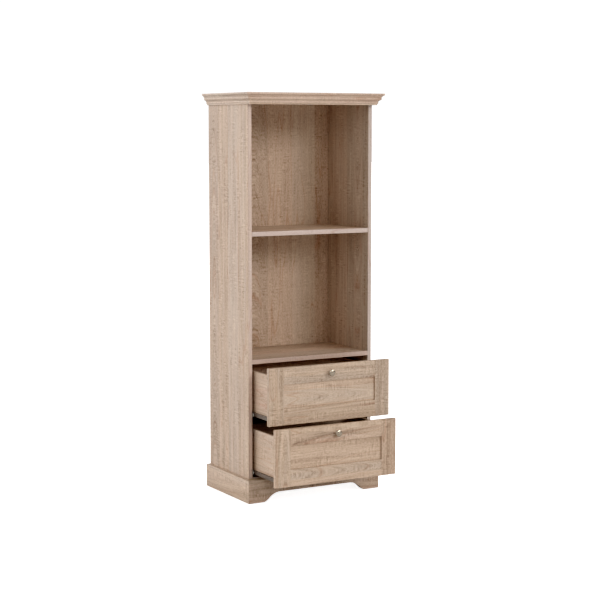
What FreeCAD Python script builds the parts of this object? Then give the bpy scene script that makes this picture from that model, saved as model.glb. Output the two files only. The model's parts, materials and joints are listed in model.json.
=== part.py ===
"""Bookcase with two open bays above two drawers, in laminated board.

A carcass of side panels, top, middle and bottom panels, one loose shelf and a grooved-in back stands
on nail-on glides. A mitred plinth wraps its foot and a mitred cornice wraps its head. Two drawers
with frame-and-panel fronts overlay the front edges and run on roller runners.

Axes: X to the right, -Y to the front, +Z up. Origin: on the floor, midway between the side panels
and midway between their front and rear edges. Units: millimetres. The drawers are stored part open.
"""
import FreeCAD, Part
import math
import os

V = FreeCAD.Vector

# ---------------------------------------------------------------- carcass
HEIGHT = 1800.0               # floor to the top of the cornice
CARCASS_WIDTH = 630.0         # over the two side panels
CARCASS_DEPTH = 385.0         # front edge to rear edge of a side panel
SIDE_T = 18.0                 # side panel board
PANEL_T = 20.0                # top, middle and bottom panels and the loose shelf
DRAWER_OPENING_H = 505.0      # bottom panel to middle panel
LOWER_BAY_H = 542.0           # middle panel to shelf
BOARD_EDGE_R = 0.8            # rounding of the front edge bands
SHELF_END_PLAY = 0.5          # each end of the loose shelf
SHELF_SETBACK = 1.0           # shelf front edge behind the carcass front

BACK_T = 4.0
BACK_RECESS = 21.0            # rear edge of the carcass to the rear face of the back
BACK_CLEARANCE = 0.5          # shelf and middle panel to the back
GROOVE_DEPTH = 8.0            # grooves that hold the back
GROOVE_PLAY = 0.2             # beside a panel in its groove
GROOVE_END_GAP = 1.0          # beyond the panel's edge in its groove

# ---------------------------------------------------------------- plinth
PLINTH_TOP = 104.0            # floor to the top of the plinth
PLINTH_LIFT = 2.5             # plinth boards above the floor, so that the glides carry
PLINTH_T = 20.0
PLINTH_RAIL_T = 18.0          # rail between the carcass front and the plinth front
PLINTH_RAIL_H = 58.0
FOOT_W = 78.0                 # each foot of the plinth front, on the floor
ARCH_H = 42.5                 # floor to the top of the cut-out
OGEE_RUN = 79.0               # width of the curved end of the cut-out
OGEE_START = 25.0             # slope of the curve at the foot, degrees
OGEE_MIDDLE = 45.0            # slope where its hollow turns into its round, degrees
BLOCK_INSET = 2.0             # plinth block back from the edge of the foot

# ---------------------------------------------------------------- cornice
CORNICE_RAIL_T = 25.0         # rail between the carcass front and the front moulding
CORNICE_FOOT_OUT = 7.5        # thickness at the lower edge
CORNICE_FILLET_H = 8.5
CORNICE_QUIRK = 2.0           # step in under the fillet
COVE_OUT = 9.5
COVE_HOLLOW = 1.8             # depth of a cove off its chord
UPPER_COVE_H = 11.5
LOWER_COVE_H = 9.0
BEAD_STEP = 1.5               # how far a bead leans in, and the step under the lower bead
BEAD_BULGE = 1.4
UPPER_BEAD_H = 9.0
LOWER_BEAD_H = 8.0
CORNICE_FOOT_H = 5.0

# ---------------------------------------------------------------- drawer fronts
FRONT_T = 18.0
FRONT_OVERLAP_SIDE = 8.0      # over the front edge of each side panel
FRONT_OVERLAP_V = 3.0         # over the edges of the middle and bottom panels
FRONT_GAP = 6.0               # between the two fronts
FRONT_TO_PLINTH = 2.0         # lower front above the plinth
FRONT_EDGE_R = 1.5
FRAME_W = 74.0                # stiles and rails
FRAME_GROOVE_DEPTH = 8.0
FRAME_GROOVE_PLAY = 0.1
TONGUE_END_GAP = 0.3
FRONT_PANEL_T = 6.0
FRONT_PANEL_RECESS = 6.5

# ---------------------------------------------------------------- drawer boxes
BOX_H = 200.0
BOX_T = 12.0
BOX_REAR_GAP = 11.0           # closed drawer to the back
BOX_BOTTOM_T = 4.0
BOX_BOTTOM_RISE = 10.0        # groove above the lower edge of the side
BOX_GROOVE_DEPTH = 6.0
FRONT_GROOVE_DEPTH = 4.0      # groove for the box bottom in the back of the front
BOX_GROOVE_END_GAP = 0.5
CLOSED_GAP = 1.0              # front to carcass with the drawer shut
UPPER_OPEN = 152.0            # as stored: back of the front to the carcass front
LOWER_OPEN = 210.5
FULL_OPENING = 250.0          # shut to the runner's stop

# ---------------------------------------------------------------- roller runners
RUNNER_SPACE = 12.5           # carcass side to drawer side
RUNNER_T = 1.2
RUNNER_RISE = 15.8            # underside of the drawer member above the lower edge of the front
MEMBER_H = 20.2               # drawer member
MEMBER_LEG = 11.0             # leg under the drawer side
MEMBER_SETBACK = 2.0          # front ends of both members
CABINET_MEMBER_END_GAP = 8.0  # rear end of the cabinet member to the back
MEMBER_GAP = 0.8              # drawer flange above the cabinet member
FLANGE_TO_WALL = 1.3          # cabinet flange to the wall of the drawer member
FLANGE_TO_WEB = 0.6           # drawer flange to the web of the cabinet member
ROLLER_R = 10.0
ROLLER_GAP = 0.3              # roller to the flanges around it
ROLLER_RIM = 0.6              # chamfer
ROLLER_INSET = 11.0           # roller centre from the end of its member
ROLLER_SIDE_PLAY = 0.1
STOP_DROP = 5.8               # stop tab below the upper flange
AXLE_R = 2.5
AXLE_PLAY = 0.05
AXLE_HEAD_R = 4.0
AXLE_HEAD_T = 0.8
HEAD_TO_SCREW = 0.3           # rear axle head to the screw heads it passes

# ---------------------------------------------------------------- knob
KNOB_R = 15.0
KNOB_OUT = 24.0
KNOB_RIM = 4.0                # height of the knob's straight rim
KNOB_CHAMFER = 2.5
KNOB_BASE_R = 7.5
KNOB_BASE_T = 1.5
KNOB_NECK_R = 5.0
KNOB_SCREW_R = 2.0
KNOB_SCREW_GRIP = 9.0         # thread inside the knob
KNOB_SCREW_HEAD_R = 4.0
KNOB_SCREW_HEAD_T = 2.5

# ---------------------------------------------------------------- fasteners
DOWEL_R = 4.0
DOWEL_L = 30.0
BOX_DOWEL_R = 3.0
BOX_DOWEL_L = 30.0
DOWEL_IN_FACE = 12.0          # length of a dowel in the board it meets face on
BOX_DOWEL_IN_FACE = 8.0       # the same in the thin drawer side
DOWEL_PLAY = 0.1
DOWEL_END_GAP = 0.5
CAM_R = 7.5
CAM_BACKSET = 24.0            # cam centre from the end of its panel
CAM_PAST_AXIS = 4.5           # cam depth beyond the bolt's axis
BOLT_THREAD_R = 2.5
BOLT_THREAD_L = 11.0
BOLT_SHANK_R = 3.0
BOLT_NECK_R = 2.0
BOLT_HEAD_R = 3.5
BOLT_HEAD_L = 3.0
BOLT_PLAY = 0.3
FIXING_INSET = 50.0           # first fixing of a row from the edge
FIXING_PITCH = 32.0           # bolt to the dowel beside it
PIN_R = 2.5
PIN_IN = 10.0
PIN_OUT = 8.0
SCREW_R = 1.8
SCREW_L = 14.0
SCREW_HEAD_R = 3.5
SCREW_HEAD_T = 1.4
SCREW_UNDER_GROOVE = 1.2      # tip of a runner screw below the groove in the drawer side
FIT_PLAY = 0.05               # round a screw, pin or nail
GLIDE_R = 8.0
GLIDE_H = 5.0
GLIDE_NAIL_R = 1.25
GLIDE_NAIL_L = 15.0
GLIDE_INSET = 42.0            # from the front and rear edges of the side panel

BRACKET_X = 200.0
BRACKET_W = 25.0
BRACKET_T = 2.0
BRACKET_LEG = 30.0            # along the top panel
BRACKET_DROP = 26.0           # down the back
WALL_HOLE_R = 3.0
WALL_HOLE_DROP = 15.0         # hole centre below the top panel

# ---------------------------------------------------------------- planes worked out from the sizes
HALF_W = CARCASS_WIDTH / 2
INNER = HALF_W - SIDE_T                       # half the width between the side panels
FRONT_Y = -CARCASS_DEPTH / 2
REAR_Y = CARCASS_DEPTH / 2
BACK_Y = REAR_Y - BACK_RECESS - BACK_T        # front face of the back
BOTTOM_TOP = PLINTH_TOP + FRONT_TO_PLINTH + FRONT_OVERLAP_V
BOTTOM_LOW = BOTTOM_TOP - PANEL_T
MIDDLE_LOW = BOTTOM_TOP + DRAWER_OPENING_H
MIDDLE_TOP = MIDDLE_LOW + PANEL_T
SHELF_LOW = MIDDLE_TOP + LOWER_BAY_H
TOP_LOW = HEIGHT - PANEL_T
CORNICE_H = (CORNICE_FILLET_H + UPPER_COVE_H + UPPER_BEAD_H + LOWER_COVE_H + LOWER_BEAD_H
             + CORNICE_FOOT_H)
CORNICE_LOW = HEIGHT - CORNICE_H
CORNICE_OUT = CORNICE_FOOT_OUT + 3 * BEAD_STEP + 2 * COVE_OUT + CORNICE_QUIRK

FRONT_H = (DRAWER_OPENING_H + 2 * FRONT_OVERLAP_V - FRONT_GAP) / 2
FRONT_HALF_W = INNER + FRONT_OVERLAP_SIDE
FRAME_INNER_X = FRONT_HALF_W - FRAME_W
LOWER_FRONT_LOW = BOTTOM_TOP - FRONT_OVERLAP_V
UPPER_FRONT_LOW = LOWER_FRONT_LOW + FRONT_H + FRONT_GAP

BOX_L = BACK_Y - FRONT_Y - BOX_REAR_GAP + CLOSED_GAP
BOX_HALF_W = INNER - RUNNER_SPACE
BOX_INNER_X = BOX_HALF_W - BOX_T

# heights below are above the lower edge of a drawer front
BOX_LOW = RUNNER_RISE + RUNNER_T
BOX_GROOVE_LOW = BOX_LOW + BOX_BOTTOM_RISE
BOX_SCREW_L = RUNNER_T + BOX_BOTTOM_RISE - SCREW_UNDER_GROOVE
MEMBER_TOP = RUNNER_RISE + MEMBER_H
DRAWER_FLANGE_LOW = MEMBER_TOP - RUNNER_T
FRONT_ROLLER_Z = DRAWER_FLANGE_LOW - ROLLER_GAP - ROLLER_R
CHANNEL_TOP = DRAWER_FLANGE_LOW - MEMBER_GAP
CHANNEL_LOW = CHANNEL_TOP - 2 * (RUNNER_T + ROLLER_R + ROLLER_GAP)
REAR_ROLLER_Z = CHANNEL_LOW + RUNNER_T + ROLLER_GAP + ROLLER_R

# distances below are from the inner face of a side panel towards the drawer
MEMBER_WALL = RUNNER_SPACE - RUNNER_T
CHANNEL_TIP = MEMBER_WALL - FLANGE_TO_WALL
DRAWER_FLANGE_TIP = RUNNER_T + FLANGE_TO_WEB
ROLLER_NEAR = RUNNER_T + SCREW_HEAD_T + HEAD_TO_SCREW + AXLE_HEAD_T + ROLLER_SIDE_PLAY
ROLLER_FAR = CHANNEL_TIP - ROLLER_SIDE_PLAY - ROLLER_GAP

FRONT_ROLLER_Y = FRONT_Y + MEMBER_SETBACK + ROLLER_INSET
REAR_ROLLER_BACK = BOX_L - ROLLER_INSET       # behind the back face of the drawer front
SIDES = {"left": -1, "right": 1}
DRAWERS = {"upper": (UPPER_FRONT_LOW, UPPER_OPEN), "lower": (LOWER_FRONT_LOW, LOWER_OPEN)}

nodes = {}


# ---------------------------------------------------------------- shape helpers
def box(x, y, z):
    """Block between three pairs of coordinates, each pair in either order."""
    lows = [min(pair) for pair in (x, y, z)]
    spans = [max(pair) - min(pair) for pair in (x, y, z)]
    return Part.makeBox(*spans, V(*lows))


def rod(radius, start, end):
    """Round bar from one point to another."""
    run = V(*end) - V(*start)
    return Part.makeCylinder(radius, run.Length, V(*start), run)


def turned(outline, base, axis):
    """Round solid: (distance along the axis, radius) points spun about an axis through base."""
    along = V(*axis)
    across = V(1, 0, 0) if abs(along.x) < abs(along.z) + abs(along.y) else V(0, 0, 1)
    points = [V(*base) + along * step + across * radius for step, radius in outline]
    return Part.Face(Part.makePolygon(points + points[:1])).revolve(V(*base), along, 360)


def flat_face(start, stretches, place):
    """Face inside a closed outline of 2-D points, set in space by place(u, v).

    A stretch of one point is a straight run to it; one of two points is an arc through the first.
    """
    edges = []
    here = start
    for stretch in stretches:
        end = stretch[-1]
        if len(stretch) == 1:
            edges.append(Part.LineSegment(place(*here), place(*end)).toShape())
        else:
            edges.append(Part.Arc(place(*here), place(*stretch[0]), place(*end)).toShape())
        here = end
    return Part.Face(Part.Wire(edges))


def meets(shape, other):
    """Whether the boxes round two shapes touch."""
    return shape.BoundBox.intersect(other.BoundBox)


def cut_by(shape, cutters):
    """Shape less every cutter that reaches it."""
    near = [cutter for cutter in cutters if meets(shape, cutter)]
    return shape.cut(Part.makeCompound(near)) if near else shape


def rounded(shape, radius, chosen):
    """Shape with the edges picked by chosen(first point, last point) rounded."""
    edges = [edge for edge in shape.Edges
             if len(edge.Vertexes) == 2 and chosen(edge.Vertexes[0].Point, edge.Vertexes[1].Point)]
    return shape.makeFillet(radius, edges)


def near(value, target):
    """Whether a coordinate lies on a plane."""
    return abs(value - target) < 1e-4


def keep(name, solids):
    """Store the solids of one node."""
    nodes[name] = Part.makeCompound(solids) if len(solids) > 1 else solids[0]


# ---------------------------------------------------------------- fasteners
def dowel(radius, length, at, axis, in_face):
    """A dowel and its hole; at is where the boards meet, axis points into the board met face on."""
    run = V(*axis)
    start = V(*at) - run * (length - in_face)
    end = V(*at) + run * in_face
    hole = rod(radius + DOWEL_PLAY, start - run * DOWEL_END_GAP, end + run * DOWEL_END_GAP)
    return rod(radius, start, end), hole


def screw(at, axis, length):
    """A pan-head screw and its hole; at is under the head, axis points the way it is driven."""
    outline = [(-SCREW_HEAD_T, 0), (-SCREW_HEAD_T, SCREW_HEAD_R), (0, SCREW_HEAD_R), (0, SCREW_R),
               (length - SCREW_R, SCREW_R), (length, 0)]
    hole = rod(SCREW_R + FIT_PLAY, at, V(*at) + V(*axis) * (length + FIT_PLAY))
    return turned(outline, at, axis), hole


def cam_joint(side, y, z, opens):
    """Cam, bolt and the bores for both where a panel meets a side panel.

    z is the middle of the panel, and opens is 1 or -1 for a cam let in from above or below.
    """
    face = (side * INNER, y, z)
    inward = (-side, 0, 0)
    neck_start = CAM_BACKSET - CAM_R
    head_start = CAM_BACKSET - BOLT_HEAD_L / 2
    head_end = head_start + BOLT_HEAD_L
    bolt = turned([(-BOLT_THREAD_L, 0), (-BOLT_THREAD_L, BOLT_THREAD_R), (0, BOLT_THREAD_R),
                   (0, BOLT_SHANK_R), (neck_start, BOLT_SHANK_R), (neck_start, BOLT_NECK_R),
                   (head_start, BOLT_NECK_R), (head_start, BOLT_HEAD_R), (head_end, BOLT_HEAD_R),
                   (head_end, 0)], face, inward)

    def bore(radius, start, end):
        return rod(radius, (side * (INNER - start), y, z), (side * (INNER - end), y, z))

    def pocket(half, start, end):
        return box((side * (INNER - start), side * (INNER - end)), (y - half, y + half),
                   (z - half, z + half))

    cam_x = side * (INNER - CAM_BACKSET)
    mouth = z + opens * PANEL_T / 2
    floor = z - opens * CAM_PAST_AXIS
    cam = rod(CAM_R, (cam_x, y, mouth), (cam_x, y, floor))
    cam = cam.cut(pocket(BOLT_SHANK_R + BOLT_PLAY, 0, neck_start + BOLT_PLAY))
    cam = cam.cut(pocket(BOLT_NECK_R + BOLT_PLAY, 0, head_start))
    cam = cam.cut(pocket(BOLT_HEAD_R + BOLT_PLAY, head_start - BOLT_PLAY, head_end + BOLT_PLAY))
    slot = SCREW_HEAD_T / 2
    cam = cam.cut(box((cam_x - CAM_R / 2, cam_x + CAM_R / 2), (y - slot, y + slot),
                      (mouth - opens * SCREW_HEAD_T, mouth)))
    cam_hole = rod(CAM_R + DOWEL_PLAY, (cam_x, y, mouth), (cam_x, y, floor - opens * DOWEL_END_GAP))
    holes = [bore(BOLT_THREAD_R + FIT_PLAY, -BOLT_THREAD_L - FIT_PLAY, 0),
             bore(BOLT_SHANK_R + BOLT_PLAY, 0, CAM_BACKSET), cam_hole]
    return cam, bolt, holes


# ---------------------------------------------------------------- carcass fixings
class CarcassFixings:
    """Every dowel, cam, bolt, pin and screw of the carcass, and the holes they need."""

    def __init__(self):
        self.dowels = []
        self.cams = []
        self.bolts = []
        self.pins = []
        self.screws = []
        self.glides = []
        self.holes = []
        self.join_panels()
        self.join_trims()
        self.pin_shelf()
        self.screw_runners()
        self.screw_brackets()
        self.nail_glides()

    def add_dowel(self, at, axis, in_face=DOWEL_IN_FACE):
        peg, hole = dowel(DOWEL_R, DOWEL_L, at, axis, in_face)
        self.dowels.append(peg)
        self.holes.append(hole)

    def add_screw(self, at, axis):
        fastener, hole = screw(at, axis, SCREW_L)
        self.screws.append(fastener)
        self.holes.append(hole)

    def join_panels(self):
        """Two cams and two dowels at each end of the top, middle and bottom panels."""
        for low, opens in ((TOP_LOW, 1), (MIDDLE_LOW, -1), (BOTTOM_LOW, -1)):
            z = low + PANEL_T / 2
            for side in SIDES.values():
                for edge_y, inward in ((FRONT_Y, 1), (BACK_Y, -1)):
                    bolt_y = edge_y + inward * FIXING_INSET
                    cam, bolt, holes = cam_joint(side, bolt_y, z, opens)
                    self.cams.append(cam)
                    self.bolts.append(bolt)
                    self.holes.extend(holes)
                    self.add_dowel((side * INNER, bolt_y + inward * FIXING_PITCH, z), (side, 0, 0))

    def join_trims(self):
        """Dowels that hold the plinth, the cornice and the rails behind them."""
        half_dowel = DOWEL_L / 2
        plinth_z = PLINTH_TOP - PLINTH_RAIL_H / 2
        cornice_z = HEIGHT - CORNICE_H / 2
        for z in (plinth_z, cornice_z):
            rail_t = PLINTH_RAIL_T if z == plinth_z else CORNICE_RAIL_T
            for side in SIDES.values():
                for y in (FRONT_Y + FIXING_INSET + 2 * FIXING_PITCH, REAR_Y - FIXING_INSET):
                    self.add_dowel((side * HALF_W, y, z), (-side, 0, 0))
                self.add_dowel((side * (HALF_W - SIDE_T / 2), FRONT_Y, z), (0, -1, 0))
            for x in (-HALF_W / 2, 0, HALF_W / 2):
                self.add_dowel((x, FRONT_Y - rail_t, z), (0, 1, 0), half_dowel)

    def pin_shelf(self):
        """Four pins under the loose shelf."""
        z = SHELF_LOW - PIN_R
        for side in SIDES.values():
            for y in (FRONT_Y + FIXING_INSET, BACK_Y - FIXING_INSET):
                root = (side * (INNER + PIN_IN), y, z)
                self.pins.append(rod(PIN_R, root, (side * (INNER - PIN_OUT), y, z)))
                self.holes.append(rod(PIN_R + FIT_PLAY, root, (side * INNER, y, z)))

    def screw_runners(self):
        """Three screws through each cabinet runner member."""
        for front_low, _ in DRAWERS.values():
            z = front_low + REAR_ROLLER_Z
            for side in SIDES.values():
                for y in runner_screw_ys(FRONT_Y + MEMBER_SETBACK, BACK_Y - CABINET_MEMBER_END_GAP):
                    self.add_screw((side * (INNER - RUNNER_T), y, z), (side, 0, 0))

    def screw_brackets(self):
        """One screw up through each wall bracket."""
        for side in SIDES.values():
            self.add_screw((side * BRACKET_X, BACK_Y - BRACKET_LEG / 2, TOP_LOW - BRACKET_T),
                           (0, 0, 1))

    def nail_glides(self):
        """Two glides nailed under each side panel."""
        top = GLIDE_H + GLIDE_NAIL_L
        outline = [(0, 0), (0, GLIDE_R - BOARD_EDGE_R), (BOARD_EDGE_R, GLIDE_R), (GLIDE_H, GLIDE_R),
                   (GLIDE_H, GLIDE_NAIL_R), (top - GLIDE_NAIL_R, GLIDE_NAIL_R), (top, 0)]
        for side in SIDES.values():
            for y in (FRONT_Y + GLIDE_INSET, REAR_Y - GLIDE_INSET):
                x = side * (HALF_W - SIDE_T / 2)
                self.glides.append(turned(outline, (x, y, 0), (0, 0, 1)))
                self.holes.append(rod(GLIDE_NAIL_R + FIT_PLAY, (x, y, 0), (x, y, top + FIT_PLAY)))


def runner_screw_ys(start, end):
    """Three places along a runner member, clear of the rollers at its ends."""
    margin = ROLLER_INSET + 2 * ROLLER_R
    first = start + margin
    last = end - margin
    return (first, (first + last) / 2, last)


# ---------------------------------------------------------------- carcass boards
def back_grooves():
    """The groove that runs round the carcass for the back, as one cutter."""
    reach = INNER + GROOVE_DEPTH
    y = (BACK_Y - GROOVE_PLAY, BACK_Y + BACK_T + GROOVE_PLAY)
    return box((-reach, reach), y, (BOTTOM_TOP - GROOVE_DEPTH, TOP_LOW + GROOVE_DEPTH))


def wall_holes():
    """Holes for the two wall screws, through the brackets and the back."""
    z = TOP_LOW - WALL_HOLE_DROP
    return [rod(WALL_HOLE_R, (side * BRACKET_X, BACK_Y - BRACKET_LEG, z),
                (side * BRACKET_X, REAR_Y, z)) for side in SIDES.values()]


def side_panel(side, fixings):
    """One side panel, from its glides to the top of the bookcase."""
    board = box((side * INNER, side * HALF_W), (FRONT_Y, REAR_Y), (GLIDE_H, HEIGHT))
    board = rounded(board, BOARD_EDGE_R, lambda a, b: near(a.y, FRONT_Y) and near(b.y, FRONT_Y)
                    and near(a.x, b.x))
    return cut_by(board, fixings.holes + [back_grooves()])


def cross_panel(low, rear_y, fixings, end_play=0.0, setback=0.0):
    """A board that spans between the side panels."""
    reach = INNER - end_play
    front = FRONT_Y + setback
    board = box((-reach, reach), (front, rear_y), (low, low + PANEL_T))
    board = rounded(board, BOARD_EDGE_R, lambda a, b: near(a.y, front) and near(b.y, front)
                    and near(a.z, b.z))
    return cut_by(board, fixings)


def back_panel():
    """The thin back, held in the grooves of the sides, top and bottom."""
    reach = INNER + GROOVE_DEPTH - GROOVE_END_GAP
    z = (BOTTOM_TOP - GROOVE_DEPTH + GROOVE_END_GAP, TOP_LOW + GROOVE_DEPTH - GROOVE_END_GAP)
    return cut_by(box((-reach, reach), (BACK_Y, BACK_Y + BACK_T), z), wall_holes())


def wall_bracket(side, fixings):
    """Steel angle under the top panel, against the back."""
    x = (side * BRACKET_X - BRACKET_W / 2, side * BRACKET_X + BRACKET_W / 2)
    top_leg = box(x, (BACK_Y - BRACKET_LEG, BACK_Y), (TOP_LOW - BRACKET_T, TOP_LOW))
    rear_leg = box(x, (BACK_Y - BRACKET_T, BACK_Y), (TOP_LOW - BRACKET_DROP, TOP_LOW))
    return cut_by(top_leg.fuse(rear_leg).removeSplitter(), wall_holes() + fixings.holes)


# ---------------------------------------------------------------- mitred trims
def plan_block(corners):
    """Full-height block over a plan outline."""
    points = [V(x, y, 0) for x, y in corners]
    return Part.Face(Part.makePolygon(points + points[:1])).extrude(V(0, 0, HEIGHT))


def front_trim(section, base_y, out):
    """Trim across the front, mitred at both ends; section(place) gives its cross-section."""
    reach = HALF_W + out
    face = section(lambda u, z: V(-reach, base_y - u, z))
    mitres = plan_block([(-HALF_W, base_y), (HALF_W, base_y), (reach, base_y - out),
                         (-reach, base_y - out)])
    return face.extrude(V(2 * reach, 0, 0)).common(mitres)


def side_trim(side, section, base_y, out):
    """Trim along one side, mitred at the front and square at the rear."""
    start = base_y - out
    face = section(lambda u, z: V(side * (HALF_W + u), start, z))
    mitres = plan_block([(side * HALF_W, base_y), (side * (HALF_W + out), start),
                         (side * (HALF_W + out), REAR_Y), (side * HALF_W, REAR_Y)])
    return face.extrude(V(0, REAR_Y - start, 0)).common(mitres)


def off_chord(start, end, height):
    """Middle point of an arc between two points, off their chord: outward if height is positive."""
    run = (end[0] - start[0], end[1] - start[1])
    length = math.hypot(*run)
    return ((start[0] + end[0]) / 2 - run[1] / length * height,
            (start[1] + end[1]) / 2 + run[0] / length * height)


def cornice_section(place):
    """Fillet, cove, bead, cove, bead and foot, from the top down."""
    out = CORNICE_OUT
    z = HEIGHT - CORNICE_FILLET_H
    stretches = [((out, HEIGHT),), ((out, z),), ((out - CORNICE_QUIRK, z),)]
    here = (out - CORNICE_QUIRK, z)
    for cove_h, bead_h in ((UPPER_COVE_H, UPPER_BEAD_H), (LOWER_COVE_H, LOWER_BEAD_H)):
        bead_top = (here[0] - COVE_OUT, here[1] - cove_h)
        bead_low = (bead_top[0] - BEAD_STEP, bead_top[1] - bead_h)
        stretches.append((off_chord(here, bead_top, -COVE_HOLLOW), bead_top))
        stretches.append((off_chord(bead_top, bead_low, BEAD_BULGE), bead_low))
        here = bead_low
    stretches += [((CORNICE_FOOT_OUT, here[1]),), ((CORNICE_FOOT_OUT, CORNICE_LOW),),
                  ((0, CORNICE_LOW),), ((0, HEIGHT),)]
    return flat_face((0, HEIGHT), stretches, place)


def plinth_section(place):
    """Plain board on edge."""
    low, top = PLINTH_LIFT, PLINTH_TOP
    return flat_face((0, low), [((PLINTH_T, low),), ((PLINTH_T, top),), ((0, top),), ((0, low),)],
                     place)


def plinth_arch(front_y):
    """Cutter for the opening between the feet, with an ogee at each end."""
    foot_x = HALF_W + PLINTH_T - FOOT_W
    rise = ARCH_H - PLINTH_LIFT
    start, middle = math.radians(OGEE_START), math.radians(OGEE_MIDDLE)
    hollow_run, hollow_rise = math.sin(middle) - math.sin(start), math.cos(start) - math.cos(middle)
    round_run, round_rise = math.sin(middle), 1 - math.cos(middle)
    scale = round_run * hollow_rise - hollow_run * round_rise
    hollow_r = (round_run * rise - round_rise * OGEE_RUN) / scale
    round_r = (OGEE_RUN - hollow_r * hollow_run) / round_run

    def hollow(angle):
        return (foot_x - hollow_r * (math.sin(angle) - math.sin(start)),
                PLINTH_LIFT + hollow_r * (math.cos(start) - math.cos(angle)))

    def crest(angle):
        return (foot_x - OGEE_RUN + round_r * math.sin(angle),
                ARCH_H - round_r * (1 - math.cos(angle)))

    def mirrored(point):
        return (-point[0], point[1])

    right = [(hollow((start + middle) / 2), hollow(middle)), (crest(middle / 2), crest(0))]
    left = [(mirrored(crest(middle / 2)), mirrored(crest(middle))),
            (mirrored(hollow((start + middle) / 2)), mirrored(hollow(start)))]
    below = [((-foot_x, 0),), ((foot_x, 0),), ((foot_x, PLINTH_LIFT),)]
    face = flat_face(hollow(start), right + [(mirrored(crest(0)),)] + left + below,
                     lambda x, z: V(x, front_y, z))
    return face.extrude(V(0, PLINTH_T, 0))


def build_trims(fixings):
    """Plinth and cornice, with the rails and blocks that carry them."""
    plinth_y = FRONT_Y - PLINTH_RAIL_T
    cornice_y = FRONT_Y - CORNICE_RAIL_T
    front = front_trim(plinth_section, plinth_y, PLINTH_T)
    keep("plinth_front", [cut_by(front, fixings.holes + [plinth_arch(plinth_y - PLINTH_T)])])
    keep("cornice_front", [cut_by(front_trim(cornice_section, cornice_y, CORNICE_OUT),
                                  fixings.holes)])
    for name, side in SIDES.items():
        plinth = side_trim(side, plinth_section, plinth_y, PLINTH_T)
        cornice = side_trim(side, cornice_section, cornice_y, CORNICE_OUT)
        keep("plinth_side_" + name, [cut_by(plinth, fixings.holes)])
        keep("cornice_side_" + name, [cut_by(cornice, fixings.holes)])
    rail_low = PLINTH_TOP - PLINTH_RAIL_H
    plinth_rail = box((-HALF_W, HALF_W), (plinth_y, FRONT_Y), (rail_low, PLINTH_TOP))
    cornice_rail = box((-HALF_W, HALF_W), (cornice_y, FRONT_Y), (CORNICE_LOW, HEIGHT))
    keep("plinth_rail", [cut_by(plinth_rail, fixings.holes)])
    keep("cornice_rail", [cut_by(cornice_rail, fixings.holes)])
    block_x = HALF_W + PLINTH_T - FOOT_W + BLOCK_INSET
    keep("plinth_blocks", [box((side * block_x, side * HALF_W), (plinth_y, FRONT_Y),
                               (PLINTH_LIFT, rail_low)) for side in SIDES.values()])


def build_carcass():
    """Boards, trims and fasteners that stand still."""
    fixings = CarcassFixings()
    grooved = fixings.holes + [back_grooves()]
    for name, side in SIDES.items():
        keep("side_panel_" + name, [side_panel(side, fixings)])
    keep("top_panel", [cross_panel(TOP_LOW, REAR_Y, grooved)])
    keep("bottom_panel", [cross_panel(BOTTOM_LOW, REAR_Y, grooved)])
    keep("middle_panel", [cross_panel(MIDDLE_LOW, BACK_Y - BACK_CLEARANCE, fixings.holes)])
    keep("shelf", [cross_panel(SHELF_LOW, BACK_Y - BACK_CLEARANCE, [], SHELF_END_PLAY,
                               SHELF_SETBACK)])
    keep("back_panel", [back_panel()])
    build_trims(fixings)
    keep("wall_brackets", [wall_bracket(side, fixings) for side in SIDES.values()])
    keep("carcass_dowels", fixings.dowels)
    keep("cam_locks", fixings.cams)
    keep("cam_bolts", fixings.bolts)
    keep("shelf_pins", fixings.pins)
    keep("carcass_screws", fixings.screws)
    keep("floor_glides", fixings.glides)
    for name, side in SIDES.items():
        keep("cabinet_runners_" + name, [cut_by(cabinet_member(side, front_low),
                                                fixings.holes + [front_axle_hole(side, front_low)])
                                         for front_low, _ in DRAWERS.values()])
    keep("front_roller_axles", [axle(side, FRONT_ROLLER_Y, front_low + FRONT_ROLLER_Z, 1)
                                for front_low, _ in DRAWERS.values() for side in SIDES.values()])


# ---------------------------------------------------------------- runners
def off_side(side, distance):
    """X of a plane that lies a distance in from the inner face of a side panel."""
    return side * (INNER - distance)


def roller(side, y, z):
    """Nylon roller with a bore and chamfered rims."""
    bore = AXLE_R + AXLE_PLAY
    width = ROLLER_FAR - ROLLER_NEAR
    outline = [(0, bore), (0, ROLLER_R - ROLLER_RIM), (ROLLER_RIM, ROLLER_R),
               (width - ROLLER_RIM, ROLLER_R), (width, ROLLER_R - ROLLER_RIM), (width, bore)]
    return turned(outline, (off_side(side, ROLLER_NEAR), y, z), (-side, 0, 0))


def axle(side, y, z, outward):
    """Riveted axle: outward is 1 where it stands on the cabinet member, -1 on the drawer member."""
    root = 0 if outward > 0 else RUNNER_SPACE
    near_face = ROLLER_NEAR if outward > 0 else RUNNER_SPACE - ROLLER_FAR
    shoulder = near_face - ROLLER_SIDE_PLAY
    head = near_face + ROLLER_FAR - ROLLER_NEAR + ROLLER_SIDE_PLAY
    outline = [(0, 0), (0, AXLE_R), (RUNNER_T, AXLE_R), (RUNNER_T, AXLE_HEAD_R),
               (shoulder, AXLE_HEAD_R), (shoulder, AXLE_R), (head, AXLE_R), (head, AXLE_HEAD_R),
               (head + AXLE_HEAD_T, AXLE_HEAD_R), (head + AXLE_HEAD_T, 0)]
    return turned(outline, (off_side(side, root), y, z), (-side * outward, 0, 0))


def front_axle_hole(side, front_low):
    """Hole in a cabinet member for its roller's axle."""
    z = front_low + FRONT_ROLLER_Z
    return rod(AXLE_R, (off_side(side, 0), FRONT_ROLLER_Y, z),
               (off_side(side, RUNNER_T), FRONT_ROLLER_Y, z))


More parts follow.
